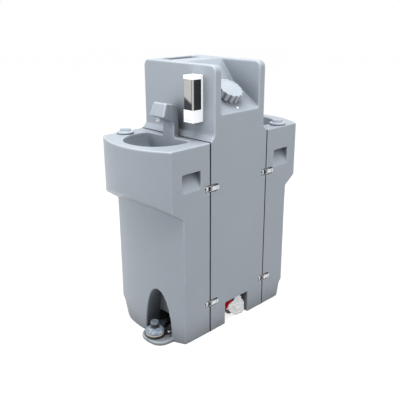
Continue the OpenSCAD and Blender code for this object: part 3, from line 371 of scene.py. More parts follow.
@shader_group("Colour", Colour=GREY, Dust=GREY, Reach=0.2, Amount=0.2)
def floor_dust(tree, base, dust, reach, amount):
    """Grime that gathers in clouds near the floor."""
    low = (1.0 - split_place(tree)[2] / reach).clamped()
    share = (low**2.0 * clouds(tree, 14.0, 5.0) * amount).clamped()
    return mix_colours(tree, share, base, dust)


@shader_group("Height", Scale=700.0, Waves=0.5)
def fine_grain(tree, scale, waves):
    """Height of a mould's fine pebbled grain over slower waves."""
    return clouds(tree, scale, 2.0) + clouds(tree, scale * 0.04, 1.0) * waves


@shader_group("Roughness", Roughness=0.4, Spread=0.1, Scale=20.0)
def sheen_drift(tree, rough, spread, scale):
    """Roughness that wanders a little over the surface."""
    return (rough + (clouds(tree, scale, 4.0) - 0.5) * spread).clamped()


@shader_group("Colour", Colour=GREY, Reach=0.2, Deepest=0.05)
def hollow_shade(tree, base, reach, deepest):
    """Darker colour in hollows that little light reaches."""
    light = add_node(tree, "AmbientOcclusion", {"Distance": reach}, samples=8).outputs["AO"]
    value = add_node(tree, "MapRange", {"Value": light, "From Max": OPEN_SHARE, "To Min": deepest})
    return tinted(tree, base, value.outputs["Result"])


@shader_group("Colour", Colour=GREY, Edge=GREY, Corner=GREY, Amount=0.6, Sharpness=22.0)
def edge_light_and_corner_shade(tree, base, edge, corner, amount, sharpness):
    """Painted highlight on edges and painted shade in inner corners, from how sharply the surface turns.
    """
    turn = Field(tree, tree.nodes.new("ShaderNodeNewGeometry").outputs["Pointiness"])
    for height, tone in ((turn - FLAT_TURN[1], edge), (FLAT_TURN[0] - turn, corner)):
        share = ((height * sharpness).clamped() * amount).clamped()
        base = mix_colours(tree, share, base, tone)
    return base


@shader_group("Colour", Colour=GREY, Line=GREY, Seam=0.2, Width=0.003, Top=1.0)
def seam_shade(tree, base, line, seam, width, top):
    """Painted shade: dark lines in the gaps where the basin sections meet the tower, up to the decks."""
    _, side, height = split_place(tree)
    near = (2.0 - abs(abs(side) - seam) / width).clamped()
    return mix_colours(tree, near * height.math("LESS_THAN", top), base, line)


# Materials


COAT_ROUGHNESS = 0.08
GRAIN_STRENGTH = 0.6
SEAM_EDGE = 0.001
SCRATCH_DEPTH = 0.00003
# Fill cap masks: painted highlight on the lobes, painted shade between them and a painted shadow at the
# foot.
LOBE_CREST = 0.0006
HOLLOW_SHARE = 0.7
RIM_HEIGHT, RIM_SHARPNESS = 0.0035, 600.0
CAP_FOOT_SHADOW = 0.003
# Painted reflection on the dispenser fronts: streaks, a slope, a dark stripe and a painted highlight on
# the chamfer.
STREAK_STRETCH, STREAK_WANDER = (1.0, 1.0, 0.04), 0.12
REFLECTION_SLOPE, REFLECTION_EDGE = 0.24, (0.36, 0.5)
LINE_ACROSS, LINE_SHARE, CHAMFER_ACROSS = 0.8, 0.6, 0.885
PATCH_ABOVE, PATCH_SHARPNESS = 0.44, 3.2
# Where the painted shade on the handwheel's lower half fades out.
WHEEL_SHADE_EDGE = (-0.004, 0.006)
FOLD_DEPTH = 0.004


def station_colour(name):
    """One of the station's colours."""
    return getattr(bpy.context.scene.station_colours, name)


def principled(tree, base, roughness, **others):
    """Set plain values on a material's shader, and give its inputs back."""
    shader = tree.nodes["Principled BSDF"].inputs
    values = {"Base Color": base, "Roughness": roughness, "Coat Roughness": COAT_ROUGHNESS, **others}
    for label, value in values.items():
        connect(tree, shader[label.replace("_", " ")], value)
    return shader


def grouped(tree, group, **values):
    """The result of a shader group with its own values."""
    return add_node(tree, "Group", values, node_tree=group()).outputs[0]


def add_bump(tree, shader, height, depth, **others):
    """Relief on a shader from a height."""
    bump = add_node(tree, "Bump", {"Height": height, "Distance": depth, **others})
    connect(tree, shader["Normal"], bump.outputs["Normal"])


def add_grain(tree, shader, scale, waves, depth):
    """Fine pebbles and slower waves on a shader."""
    height = grouped(tree, fine_grain, Scale=scale, Waves=waves)
    add_bump(tree, shader, height, depth, Strength=GRAIN_STRENGTH)


def add_sheen(tree, shader, roughness, spread, scale):
    """Wandering roughness on a shader."""
    drift = grouped(tree, sheen_drift, Roughness=roughness, Spread=spread, Scale=scale)
    connect(tree, shader["Roughness"], drift)


def plastic(
    tree, base, roughness, drift=0.05, scale=7.0, grain=700.0, depth=0.00012, spread=0.12, **others
):
    """Moulded plastic with drifting colour and sheen and a fine grain."""
    tone = station_colour(base)
    # A finish that gives an Emission_Strength makes the plastic glow: painted light.
    shader = principled(tree, tone, roughness, Emission_Color=tone, **others)
    shade = grouped(tree, colour_drift, Colour=tone, Drift=drift, Scale=scale)
    connect(tree, shader["Base Color"], shade)
    add_sheen(tree, shader, roughness, spread, scale * 3)
    add_grain(tree, shader, grain, 0.6, depth)
    return shader, shade


def tank_plastic(tree):
    """Rotationally moulded polyethylene: satin, clouded and a little grimy at the foot, with painted
    highlights on its edges and painted shade in its corners, seams and hollows.
    """
    colours = bpy.context.scene.station_colours
    shader = principled(tree, colours.tank, 0.36, Specular_IOR_Level=0.42)
    shade = grouped(tree, colour_drift, Colour=colours.tank, Drift=0.045, Scale=5.0)
    shade = grouped(tree, floor_dust, Colour=shade, Dust=colours.dust, Reach=0.22, Amount=0.5)
    # Painted highlight on the edges and painted shade in the inner corners.
    shade = grouped(tree, edge_light_and_corner_shade, Colour=shade, Edge=colours.tank_edge_highlight, Corner=colours.tank_corner_shade)
    tower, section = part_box("fresh_water_tank")[1].y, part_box("rear_waste_tank")[0].y
    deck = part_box("front_waste_cap_seal")[0].z
    shade = grouped(
        tree, seam_shade, Colour=shade, Line=colours.seam, Seam=(tower + section) / 2,
        Width=(section - tower) / 2 + SEAM_EDGE, Top=deck + 2 * SEAM_EDGE,
    )
    connect(tree, shader["Base Color"], grouped(tree, hollow_shade, Colour=shade))
    add_sheen(tree, shader, 0.36, 0.14, 9.0)
    add_grain(tree, shader, 420.0, 1.6, 0.0002)


def metal(tree, base, roughness):
    """Metal with fine scratches, and painted shade where its parts meet."""
    tone = station_colour(base)
    shader = principled(tree, tone, roughness, Metallic=1.0)
    add_bump(tree, shader, clouds(tree, 900.0, 4.0), SCRATCH_DEPTH)
    add_sheen(tree, shader, roughness, 0.18, 60.0)
    connect(tree, shader["Base Color"], grouped(tree, hollow_shade, Colour=tone, Reach=0.006))


def cap_plastic(tree):
    """Pale plastic: below the rim a painted highlight on the lobes, painted shade in the hollows between
    them and a black painted shadow round the foot.
    """
    colours, sizes = bpy.context.scene.station_colours, bpy.context.scene.station_caps
    shader, shade = plastic(tree, "fill_cap", 0.22, drift=0.02, depth=0.00005, Coat_Weight=0.4)
    place = joint_frame("fill_cap_turn")
    from_foot = vector_maths(tree, "SUBTRACT", object_place(tree), place.translation)["Vector"]
    height = Field(tree, vector_maths(tree, "DOT_PRODUCT", from_foot, place.col[2].xyz)["Value"])
    distance = Field(tree, vector_maths(tree, "LENGTH", from_foot)["Value"])
    radius = (distance**2.0 - height**2.0).math("SQRT")
    between = ((sizes.radius - LOBE_CREST - radius) / (sizes.lobe_depth * HOLLOW_SHARE)).clamped()
    # Painted highlight on the skirt, painted shade between the lobes and a painted shadow at the foot.
    on_skirt = ((sizes.lift + sizes.height - RIM_HEIGHT - height) * RIM_SHARPNESS).clamped()
    foot = height.math("LESS_THAN", sizes.lift + CAP_FOOT_SHADOW)
    shade = mix_colours(tree, on_skirt, shade, colours.cap_lobe_highlight)
    shade = mix_colours(tree, between * on_skirt, shade, colours.cap_hollow)
    connect(tree, shader["Base Color"], mix_colours(tree, foot, shade, colours.rubber))


def painted_reflection_front(tree):
    """Polished plate with a painted reflection of a pale ceiling above and a dark basin below, a painted
    dark stripe and a painted highlight on its chamfer.
    """
    colours = bpy.context.scene.station_colours
    shader = principled(tree, colours.bright, 0.2, Metallic=0.85)
    low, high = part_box("dispenser_fronts")
    left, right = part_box("front_dispenser_shell")
    side, depth, height = split_place(tree)
    across = (side * (depth.math("SIGN") * -1.0) - left.x) / (right.x - left.x)
    share = ((height - low.z) / (high.z - low.z)).clamped()
    wander = (clouds(tree, 420.0, 2.0, STREAK_STRETCH) - 0.5) * STREAK_WANDER
    shifted = share + wander + across * REFLECTION_SLOPE
    bright = ramp(tree, shifted, *REFLECTION_EDGE, interpolation_type="SMOOTHSTEP")
    chamfer_highlight = across.math("GREATER_THAN", CHAMFER_ACROSS)
    line = across.math("GREATER_THAN", LINE_ACROSS) - chamfer_highlight
    shade = mix_colours(tree, bright, colours.dark_reflection, colours.bright)
    shade = mix_colours(tree, line * LINE_SHARE, shade, colours.dark_reflection)
    connect(tree, shader["Base Color"], mix_colours(tree, chamfer_highlight, shade, colours.bright))


def ring_plastic(tree):
    """Cream clamp ring whose inner edge is in the black of the dome's rim."""
    shader, shade = plastic(tree, "ring", 0.3, drift=0.08, scale=40.0, Coat_Weight=0.3)
    low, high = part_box("front_pump_knob")
    middle = (low + high) / 2
    squares = [(abs(side) - abs(centre)) ** 2.0 for side, centre in zip(split_place(tree)[:2], middle)]
    radius = (squares[0] + squares[1]).math("SQRT")
    inside = radius.math("LESS_THAN", bpy.context.scene.station_pump.rim_radius)
    connect(tree, shader["Base Color"], mix_colours(tree, inside, shade, station_colour("rubber")))


def dome_rubber(tree):
    """Blue-grey rubber with pale patches in clouds."""
    shader = principled(tree, station_colour("dome"), 0.34)
    patch = ((clouds(tree, 55.0, 6.0) - PATCH_ABOVE) * PATCH_SHARPNESS).clamped()
    patched = mix_colours(tree, patch, station_colour("dome"), station_colour("dome_wear"))
    connect(tree, shader["Base Color"], patched)
    add_sheen(tree, shader, 0.34, 0.3, 55.0)
    add_grain(tree, shader, 900.0, 0.8, 0.0001)


def wheel_plastic(tree):
    """Red plastic with painted shade on its lower half and a slight glow that is painted light."""
    # Painted light: a slight glow; below, painted shade on the wheel's lower half.
    shader, shade = plastic(tree, "wheel", 0.3, drift=0.06, Emission_Strength=0.12, Coat_Weight=0.3)
    low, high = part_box("drain_valve_handle")
    unshaded = ramp(tree, split_place(tree)[2], *((low.z + high.z) / 2 + edge for edge in WHEEL_SHADE_EDGE))
    mixed = mix_colours(tree, unshaded, station_colour("wheel_lower_shade"), shade)
    connect(tree, shader["Base Color"], mixed)
    connect(tree, shader["Emission Color"], mixed)


def bag_film(tree):
    """Thin milky film that lets some light through; its slight glow is painted light, and its creases
    get painted shade.
    """
    film = station_colour("film")
    shader = principled(
        tree, film, 0.24, Emission_Color=film, Emission_Strength=0.12, Subsurface_Weight=0.12,
        Subsurface_Radius=(0.012, 0.012, 0.012),
    )
    shade = grouped(tree, colour_drift, Colour=film, Drift=0.1, Scale=60.0)
    folds = grouped(tree, hollow_shade, Colour=shade, Reach=0.012, Deepest=0.45)
    connect(tree, shader["Base Color"], folds)
    cells = add_node(
        tree, "TexVoronoi", {"Vector": object_place(tree), "Scale": 95.0}, distance="MANHATTAN"
    )
    add_bump(tree, shader, cells.outputs["Distance"], FOLD_DEPTH)


# Slot, material, what makes it and its values, for each kind of finish

FINISHES = {
    "tank": ("grey_tank", "Tank plastic", tank_plastic, {}),
    "waste_cap": ("grey_cap", "Waste cap plastic", plastic, dict(base="waste_cap", roughness=0.36)),
    "fill_cap": ("pale_cap", "Fill cap plastic", cap_plastic, {}),
    "rubber": (
        "black_rubber", "Black rubber", plastic,
        dict(base="rubber", roughness=0.5, drift=0.2, grain=1400.0),
    ),
    "hose": (
        "black_rubber", "Hose rubber", plastic,
        dict(base="rubber", roughness=0.3, drift=0.25, scale=30.0, grain=1200.0, Coat_Weight=0.3),
    ),
    # The glow of the white covers, vents and spouts is painted light.
    "white": (
        "white_plastic", "White plastic", plastic,
        dict(
            base="white", roughness=0.25, drift=0.01, depth=0.00004, Emission_Strength=0.32,
            Coat_Weight=0.25,
        ),
    ),
    "nozzle": (
        "white_plastic", "Nozzle plastic", plastic,
        dict(base="nozzle", roughness=0.3, drift=0.02, depth=0.00004),
    ),
    "steel": ("steel", "Stainless steel", metal, dict(base="steel", roughness=0.24)),
    "bright": ("bright_metal", "Polished front", painted_reflection_front, {}),
    "black": (
        "black_plastic", "Black plastic", plastic,
        dict(base="black", roughness=0.32, drift=0.15, grain=900.0, Coat_Weight=0.2),
    ),
    "dome": ("blue_rubber", "Dome rubber", dome_rubber, {}),
    "knob": (
        "knob_plastic", "Knob plastic", plastic,
        dict(base="knob", roughness=0.3, drift=0.1, scale=60.0, grain=900.0, Coat_Weight=0.2),
    ),
    "ring": ("white_plastic", "Ring plastic", ring_plastic, {}),
    "bottle": (
        "bottle", "Bottle plastic", plastic,
        dict(base="bottle", roughness=0.28, drift=0.03, Transmission_Weight=0.25),
    ),
    "gloss": (
        "gloss_black", "Gloss black", plastic,
        dict(base="gloss", roughness=0.06, drift=0.02, depth=0.00001, spread=0.02, Coat_Weight=0.6),
    ),
    "brass": ("brass", "Valve brass", metal, dict(base="brass", roughness=0.3)),
    "wheel": ("red_plastic", "Red wheel", wheel_plastic, {}),
    "film": ("bag_film", "Bag film", bag_film, {}),
}


def new_material(name):
    material = bpy.data.materials.new(name)
    material.use_nodes = True
    return material


# Pieces


def put_in_scene(name, data):
    piece = bpy.data.objects.new(name, data)
    bpy.context.scene.collection.objects.link(piece)
    return piece


def paint(piece, kind):
    """Give a piece its finish, whose material is made when it is first asked for."""
    slot, name, make, values = FINISHES[kind]
    material = bpy.data.materials.get(name)
    if material is None:
        material = new_material(name)
        make(material.node_tree, **values)
    piece.data.materials.clear()
    piece.data.materials.append(material)
    piece.data.shade_smooth()


def add_piece(name, mesh, kind, node, stands_for=True):
    """Object of a finished mesh that rides with a CAD node, and stands for it if it isn't a trim."""
    mesh.name = name
    piece = put_in_scene(name, mesh)
    paint(piece, kind)
    mesh.set_sharp_from_angle(angle=SMOOTH_BELOW)
    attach(piece, frame["nodes"][node]["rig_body"])
    if stands_for:
        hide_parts(node)
    return piece


def add_pair(name, mesh, kind, node, stands_for=True):
    """A piece of the front and its copy on the rear, turned half round."""
    other = mesh.copy()
    other.transform(HALF_TURN)
    forms = zip(SIDES, (mesh, other))
    return [add_piece(side + name, form, kind, side + node, stands_for) for side, form in forms]


def dress(node, kind, edge=0.0):
    """Give a CAD node that stays its finish, and soften its edges by a small bevel."""
    piece = frame["nodes"][node]
    paint(piece, kind)
    soften(piece, edge)


def soften(piece, edge):
    """Close a CAD mesh and bevel its sharp edges a little."""
    weld = piece.modifiers.new("Weld", "WELD")
    weld.merge_threshold = WELD
    if edge:
        flat = piece.modifiers.new("Flats", "DECIMATE")
        flat.decimate_type = "DISSOLVE"
        flat.angle_limit = math.radians(1)
        bevel = piece.modifiers.new("Edges", "BEVEL")
        bevel.width = edge
        bevel.segments = 2
        bevel.limit_method = "ANGLE"
        bevel.angle_limit = SMOOTH_BELOW
        weight = piece.modifiers.new("Shading", "WEIGHTED_NORMAL")
        weight.keep_sharp = False


def pressed_piece(name, node, kind, edge):
    """Soft copy of a CAD node that stands in its place."""
    piece = add_piece(name, frame["nodes"][node].data.copy(), kind, node)
    piece.data.shade_smooth()
    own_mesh(piece)
    soften(piece, edge)


def closed_mesh(bm):
    """Finished mesh of a bmesh, merged, with its faces pointing outwards."""
    bmesh.ops.remove_doubles(bm, verts=bm.verts, dist=MERGE)
    bmesh.ops.dissolve_degenerate(bm, edges=bm.edges, dist=MERGE)
    bmesh.ops.recalc_face_normals(bm, faces=bm.faces)
    mesh = bpy.data.meshes.new("closed")
    bm.to_mesh(mesh)
    bm.free()
    return mesh


def rounded(points, radius, steps=4):
    """An outline with every inner corner cut back into a small curve."""
    points = [Vector(p) for p in points]
    out = [points[0]]
    for before, corner, after in zip(points, points[1:], points[2:]):
        to_before, to_after = before - corner, after - corner
        cut = min(radius, CUT_SHARE * to_before.length, CUT_SHARE * to_after.length)
        first = corner + to_before.normalized() * cut
        last = corner + to_after.normalized() * cut
        for i in range(steps + 1):
            t = i / steps
            out.append(first * (1 - t) ** 2 + corner * 2 * t * (1 - t) + last * t**2)
    return out + [points[-1]]


def spin_outline(bm, outline, place=Matrix.Identity(4), steps=72):
    """Turned solid from (radius, height) points in an empty bmesh, put in place by a matrix."""
    verts = [bm.verts.new((r, 0, z)) for r, z in outline]
    edges = [bm.edges.new(pair) for pair in zip(verts, verts[1:])]
    bmesh.ops.spin(
        bm, geom=verts + edges, cent=(0, 0, 0), axis=(0, 0, 1), angle=math.tau, steps=steps,
        use_merge=True,
    )
    bmesh.ops.transform(bm, matrix=place, verts=bm.verts)


def extruded(bm, outline, depth, place, edge):
    """Plate from an (x, y) outline, depth along Z, with its edges bevelled."""
    face = bm.faces.new([bm.verts.new((x, y, 0)) for x, y in outline])
    raised = bmesh.ops.extrude_face_region(bm, geom=[face])["geom"]
    top = [v for v in raised if isinstance(v, bmesh.types.BMVert)]
    bmesh.ops.translate(bm, verts=top, vec=(0, 0, depth))
    verts = set(top) | set(face.verts)
    edges = {e for v in verts for e in v.link_edges}
    sharp = [e for e in edges if e.calc_face_angle(0) > SMOOTH_BELOW]
    done = bmesh.ops.bevel(
        bm, geom=sharp, offset=edge, affect="EDGES", segments=3, profile=0.5, material=-1
    )
    verts = {v for v in verts if v.is_valid} | set(done["verts"])
    bmesh.ops.transform(bm, matrix=place, verts=list(verts))


def joint_frame(name):
    """Frame with its Z along a joint's axis and its X as near to the world's as it goes."""
    joint = next(j for j in frame["joints"] if j["name"] == name)
    z = Vector(joint["axis"]).normalized()
    across = Vector((1, 0, 0))
    x = (across - z * z.dot(across)).normalized()
    return Matrix.Translation(joint["pos_m"]) @ Matrix((x, z.cross(x), z)).transposed().to_4x4()


def baked(obj):
    """The mesh that an object's modifiers give; the object goes."""
    bpy.context.view_layer.update()
    graph = bpy.context.evaluated_depsgraph_get()
    mesh = bpy.data.meshes.new_from_object(obj.evaluated_get(graph), depsgraph=graph)
    bpy.data.objects.remove(obj)
    return mesh


def merged_copy(node):
    """A CAD node's mesh with its loose triangles joined."""
    bm = bmesh.new()
    bm.from_mesh(frame["nodes"][node].data)
    bmesh.ops.remove_doubles(bm, verts=bm.verts, dist=WELD)
    mesh = bpy.data.meshes.new(node + "_form")
    bm.to_mesh(mesh)
    bm.free()
    return mesh


def sphere_rays(amount):
    """Directions spread evenly over a sphere."""
    turn = math.pi * (3 - math.sqrt(5))
    rays = []
    for i in range(amount):
        z = 1 - (2 * i + 1) / amount
        across = math.sqrt(1 - z * z)
        rays.append(Vector((across * math.cos(turn * i), across * math.sin(turn * i), z)))
    return rays


def largest_part(bm):
    """Keep only the linked faces with the largest area."""
    waiting = set(bm.faces)
    parts = []
    while waiting:
        part = [waiting.pop()]
        for face in part:
            near = {other for edge in face.edges for other in edge.link_faces} & waiting
            waiting -= near
            part += near
        parts.append(part)
    best = set(max(parts, key=lambda part: sum(face.calc_area() for face in part)))
    bmesh.ops.delete(bm, geom=[face for face in bm.faces if face not in best], context="FACES")


def outer_skin(mesh):
    """Take away a hollow moulding's inner faces, which no light reaches, and close what is left."""
    bm = bmesh.new()
    bm.from_mesh(mesh)
    tree = BVHTree.FromBMesh(bm)
    rays = sphere_rays(RAYS)
    hidden = []
    for face in bm.faces:
        start = face.calc_center_median() + face.normal * CLEAR
        outward = [ray for ray in rays if ray.dot(face.normal) > OUTWARD]
        if all(tree.ray_cast(start, ray)[0] is not None for ray in outward):
            hidden.append(face)
    bmesh.ops.delete(bm, geom=hidden, context="FACES")
    largest_part(bm)
    bmesh.ops.holes_fill(bm, edges=[edge for edge in bm.edges if edge.is_boundary], sides=0)
    bmesh.ops.triangulate(bm, faces=bm.faces)
    bm.to_mesh(mesh)
    bm.free()
    return mesh


def smooth_by(obj, name, shares, passes):
    """Smoothing passes whose strength at each point is its share, in tenths."""
    group = obj.vertex_groups.new(name=name)
    tenths = np.rint(np.clip(shares, 0, 1) * 10).astype(int)
    for tenth in range(1, 11):
        chosen = np.flatnonzero(tenths == tenth)
        if len(chosen):
            group.add(chosen.tolist(), tenth / 10, "REPLACE")
    smooth = obj.modifiers.new(name, "SMOOTH")
    smooth.factor = 0.5
    smooth.iterations = passes
    smooth.vertex_group = name


def points_of(mesh):
    points = np.empty(len(mesh.vertices) * 3, np.float32)
    mesh.vertices.foreach_get("co", points)
    return points.reshape(-1, 3)


def moulded(node, voxel, passes, faces, softness=None, corners=None, corner_passes=0, hollow=False):
    """A CAD node's form with its edges rounded the way a mould leaves them."""
    form = merged_copy(node)
    lump = put_in_scene(node + "_form", outer_skin(form) if hollow else form)
    grid = lump.modifiers.new("Grid", "REMESH")
    grid.mode = "VOXEL"
    grid.voxel_size = voxel
    lump = put_in_scene(node + "_form", baked(lump))
    points = points_of(lump.data)
    if corners:
        smooth_by(lump, "corners", corners(points), corner_passes)
    smooth_by(lump, "edges", softness(points) if softness else np.ones(len(points)), passes)
    fewer = lump.modifiers.new("Fewer", "DECIMATE")
    fewer.ratio = min(1.0, faces / (2 * len(lump.data.polygons)))
    return baked(lump)


# Tanks


OVER_PLUG_FOOT = 0.02
SEAM_SOFTNESS, LATCH_SOFTNESS = 0.12, 0.2


def latch_nodes():
    """Names of the latches' levers and loops."""
    moving = [name for name in frame["nodes"] if name.endswith(("_lever", "_loop"))]
    return [name for name in moving if "dispenser" not in name]


def tank_softness(points):
    """Share of the rounding at each point: little beside the seams and the latches."""
    sizes = bpy.context.scene.station_moulding
    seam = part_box("fresh_water_tank")[1].y
    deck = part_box("front_waste_cap")[0].z + OVER_PLUG_FOOT
    from_seam = np.abs(np.abs(points[:, 1]) - seam)
    shares = np.clip((from_seam - sizes.seam_reach / 2) / sizes.seam_reach, SEAM_SOFTNESS, 1)
    shares[points[:, 2] > deck] = 1
    margin = Vector([sizes.pocket_margin] * 3)
    for name in latch_nodes():
        low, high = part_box(name)
        inside = np.all((points > np.array(low - margin)) & (points < np.array(high + margin)), axis=1)
        shares[inside] = np.minimum(shares[inside], LATCH_SOFTNESS)
    return shares


def body_corners(points):
    """Where the lower body's upright corners are, which are rounder than the rest."""
    sizes = bpy.context.scene.station_moulding
    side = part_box("fresh_water_tank")[1].x
    away = np.hypot(np.abs(points[:, 0]) - side, np.abs(points[:, 1]) - sizes.body_corner)
    near = np.clip(2 - 2 * away / sizes.corner_reach, 0, 1)
    below = np.clip((sizes.body_top - points[:, 2]) / sizes.corner_reach, 0, 1)
    return near * below


class STATION_OT_tanks(bpy.types.Operator):
    """Round the fresh water tower and the two basin sections, and give them their plastic"""

    bl_idname = "station.tanks"
    bl_label = "Moulded tanks"

    def execute(self, context):
        sizes = context.scene.station_moulding
        coarse, fewer = ((1, 1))
        passes, corner_passes = max(2, sizes.passes // fewer), sizes.corner_passes // fewer
        rounding = sizes.voxel * coarse, passes, sizes.faces // fewer, tank_softness
        tower = moulded("fresh_water_tank", *rounding, hollow=True)
        section = moulded("front_waste_tank", *rounding, body_corners, corner_passes, hollow=True)
        pieces = [add_piece("fresh_water_tower", tower, "tank", "fresh_water_tank")]
        pieces += add_pair("_basin_section", section, "tank", "_waste_tank")
        for piece in pieces:
            piece.modifiers.new("Shading", "WEIGHTED_NORMAL")
        return {"FINISHED"}


# Caps


LOBE_START = 0.0005
FLANGE_CROWN, FLANGE_EDGE = 0.001, 0.003
BAR_SUNK, BAR_EDGE = 0.002, 0.0034


def stadium(length, width, steps=10):
    """Outline of a bar with round ends."""
    straight = (length - width) / 2
    points = []
    for side in (1, -1):
        for i in range(steps + 1):
            angle = math.pi * (i / steps - 0.5)
            across, along = math.cos(angle) * width / 2, math.sin(angle) * width / 2
            points.append((side * (straight + across), side * along))
    return points


def draw_in_between_lobes(bm, lobes, depth, inner, outer):
    """Pull a round skirt in between its finger lobes."""
    for vert in bm.verts:
        radius = math.hypot(vert.co.x, vert.co.y)
        share = min(1.0, max(0.0, (radius - inner) / (outer - inner)))
        wave = (0.5 + 0.5 * math.cos(lobes * math.atan2(vert.co.y, vert.co.x))) ** 0.75
        if share:
            vert.co.xy *= 1 - depth * (1 - wave) * share / radius


class STATION_OT_fill_cap(bpy.types.Operator):
    """Turn the lobed fill cap on its own axis, and dress its gasket and the vent plug"""

    bl_idname = "station.fill_cap"
    bl_label = "Fill cap"

    def execute(self, context):
        sizes = context.scene.station_caps
        foot, head = sizes.lift, sizes.lift + sizes.height
        under, dish = head - sizes.top, head - sizes.dish_depth
        outline = rounded(
            [
                (0, under), (sizes.bore, under), (sizes.bore, foot), (sizes.radius, foot),
                (sizes.radius, head), (sizes.dish_radius, head), (sizes.dish_radius, dish), (0, dish),
            ],
            sizes.edge,
        )
        bm = bmesh.new()
        spin_outline(bm, outline, steps=sizes.lobes * 14)
        draw_in_between_lobes(bm, sizes.lobes, sizes.lobe_depth, sizes.bore + LOBE_START, sizes.radius)
        bmesh.ops.transform(bm, matrix=joint_frame("fill_cap_turn"), verts=bm.verts)
        add_piece("lobed_fill_cap", closed_mesh(bm), "fill_cap", "fill_cap")
        dress("fill_cap_gasket", "rubber", 0.0004)
        dress("vent_plug", "white", 0.0008)
        return {"FINISHED"}


class STATION_OT_waste_caps(bpy.types.Operator):
    """Turn the waste caps, put their lifting bars on and dress their seals"""

    bl_idname = "station.waste_caps"
    bl_label = "Waste caps"

    def execute(self, context):
        sizes = context.scene.station_caps
        low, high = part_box("front_waste_cap")
        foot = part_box("front_waste_cap_seal")[1].z
        middle = (low + high) / 2
        radius = (high.y - low.y) / 2
        flange = foot + sizes.flange
        outline = rounded(
            [
                (0, low.z), (sizes.plug_radius, low.z), (sizes.plug_radius, foot), (radius, foot),
                (radius, flange), (0, flange + FLANGE_CROWN),
            ],
            FLANGE_EDGE,
        )
        place = Matrix.Translation((middle.x, middle.y, 0))
        bm = bmesh.new()
        spin_outline(bm, outline, place)
        foot = flange - BAR_SUNK
        bar = Matrix.Translation((middle.x, middle.y, foot)) @ Matrix.Rotation(sizes.bar_turn, 4, "Z")
        extruded(bm, stadium(sizes.bar_length, sizes.bar_width), high.z - foot, bar, BAR_EDGE)
        add_pair("_waste_plug", closed_mesh(bm), "waste_cap", "_waste_cap")
        for side in SIDES:
            dress(side + "_waste_cap_seal", "rubber", 0.0003)
        return {"FINISHED"}


class STATION_OT_basin_fittings(bpy.types.Operator):
    """Dress the strainers in the basins and the nozzles under the spouts"""

    bl_idname = "station.basin_fittings"
    bl_label = "Basin fittings"

    def execute(self, context):
        dress("drain_strainers", "steel", 0.0004)
        dress("spout_nozzles", "nozzle", 0.0012)
        return {"FINISHED"}


# Foot pumps


HEAD_TAPER, HEAD_CROWN = 0.001, 0.006
DISH_SHARES = (0.7, 0.62)
COLLAR_STEP, COLLAR_SLOPE, NECK_EDGE = 0.0008, 0.001, 0.0012


class STATION_OT_foot_pumps(bpy.types.Operator):
    """Turn the foot knobs with their black necks, and dress the pumps under them"""

    bl_idname = "station.foot_pumps"
    bl_label = "Foot pumps"

    def execute(self, context):
        sizes = context.scene.station_pump
        low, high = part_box("front_pump_knob")
        middle = (low + high) / 2
        radius = (high.x - low.x) / 2
        under, hollow = high.z - sizes.head_height, high.z - sizes.head_dish
        collar = low.z + sizes.collar
        head = rounded(
            [
                (0, under), (radius - HEAD_TAPER, under), (radius, high.z - HEAD_CROWN),
                (radius - 2 * HEAD_TAPER, high.z), (radius * DISH_SHARES[0], high.z),
                (radius * DISH_SHARES[1], hollow), (0, hollow),
            ],
            sizes.head_edge,
        )
        neck = rounded(
            [
                (0, low.z), (sizes.neck_radius, low.z), (sizes.neck_radius, collar),
                (sizes.neck_radius - COLLAR_STEP, collar + COLLAR_SLOPE),
                (sizes.neck_radius - COLLAR_STEP / 2, under), (0, under),
            ],
            NECK_EDGE,
        )
        place = Matrix.Translation((middle.x, middle.y, 0))
        for name, outline, kind in (("_foot_knob", head, "knob"), ("_knob_neck", neck, "rubber")):
            bm = bmesh.new()
            spin_outline(bm, outline, place)
            add_pair(name, closed_mesh(bm), kind, "_pump_knob", stands_for=kind == "knob")
        for side in SIDES:
            dress(side + "_pump_base", "black", 0.0012)
            dome, spring = side + "_pump_diaphragm", side + "_pump_spring"
            pressed_piece(side + "_dome", dome, "dome", 0.0006)
            pressed_piece(side + "_return_spring", spring, "steel", 0.0)
        dress("pump_clamp_rings", "ring", 0.0014)
        dress("pump_screws", "steel", 0.0003)
        return {"FINISHED"}


# Hoses


def hose_points(points, steps):
    """A smooth line through a hose's route."""
    line = []
    for i in range(len(points) - 1):
        before = points[max(i - 1, 0)]
        first, last = points[i], points[i + 1]
        after = points[min(i + 2, len(points) - 1)]
        for step in range(steps):
            t = step / steps
            line.append(
                0.5 * (
                    2 * first + (last - before) * t + (2 * before - 5 * first + 4 * last - after) * t**2
                    + (3 * first - before - 3 * last + after) * t**3
                )
            )
    return line + [points[-1]]


def hose_mesh(line, radius):
    """Round tube along a line, closed at both ends."""
    curve = bpy.data.curves.new("hose_line", "CURVE")
    curve.dimensions = "3D"
    curve.bevel_depth = radius
    curve.bevel_resolution = 5
    curve.use_fill_caps = True
    spline = curve.splines.new("POLY")
    spline.points.add(len(line) - 1)
    for point, place in zip(spline.points, line):
        point.co = (*place, 1)
    bm = bmesh.new()
    bm.from_mesh(baked(put_in_scene("hose_line", curve)))
    return closed_mesh(bm)


SUCTION_ROUTE = [
    (123.6, -367.7, 28.5), (140.8, -354.6, 28.5), (142, -338, 32), (134, -316, 40), (114, -272, 60),
    (99, -244, 69), (95, -228, 70), (95, -212, 70),
]
SUPPLY_ROUTE = [
    (68.3, -356.6, 28.5), (64.2, -341.1, 28.5), (62, -318, 33), (50, -290, 50), (30, -256, 58),
    (12, -230, 70), (4, -214, 90), (0, -214, 116), (0, -214, 150), (0, -214, 600), (0, -214, 1005),
    (0, -214, 1041), (0, -218, 1069), (0, -231, 1085), (0, -248, 1090), (0, -274.55, 1091.2),
    (0, -276.86, 1085.7),
]


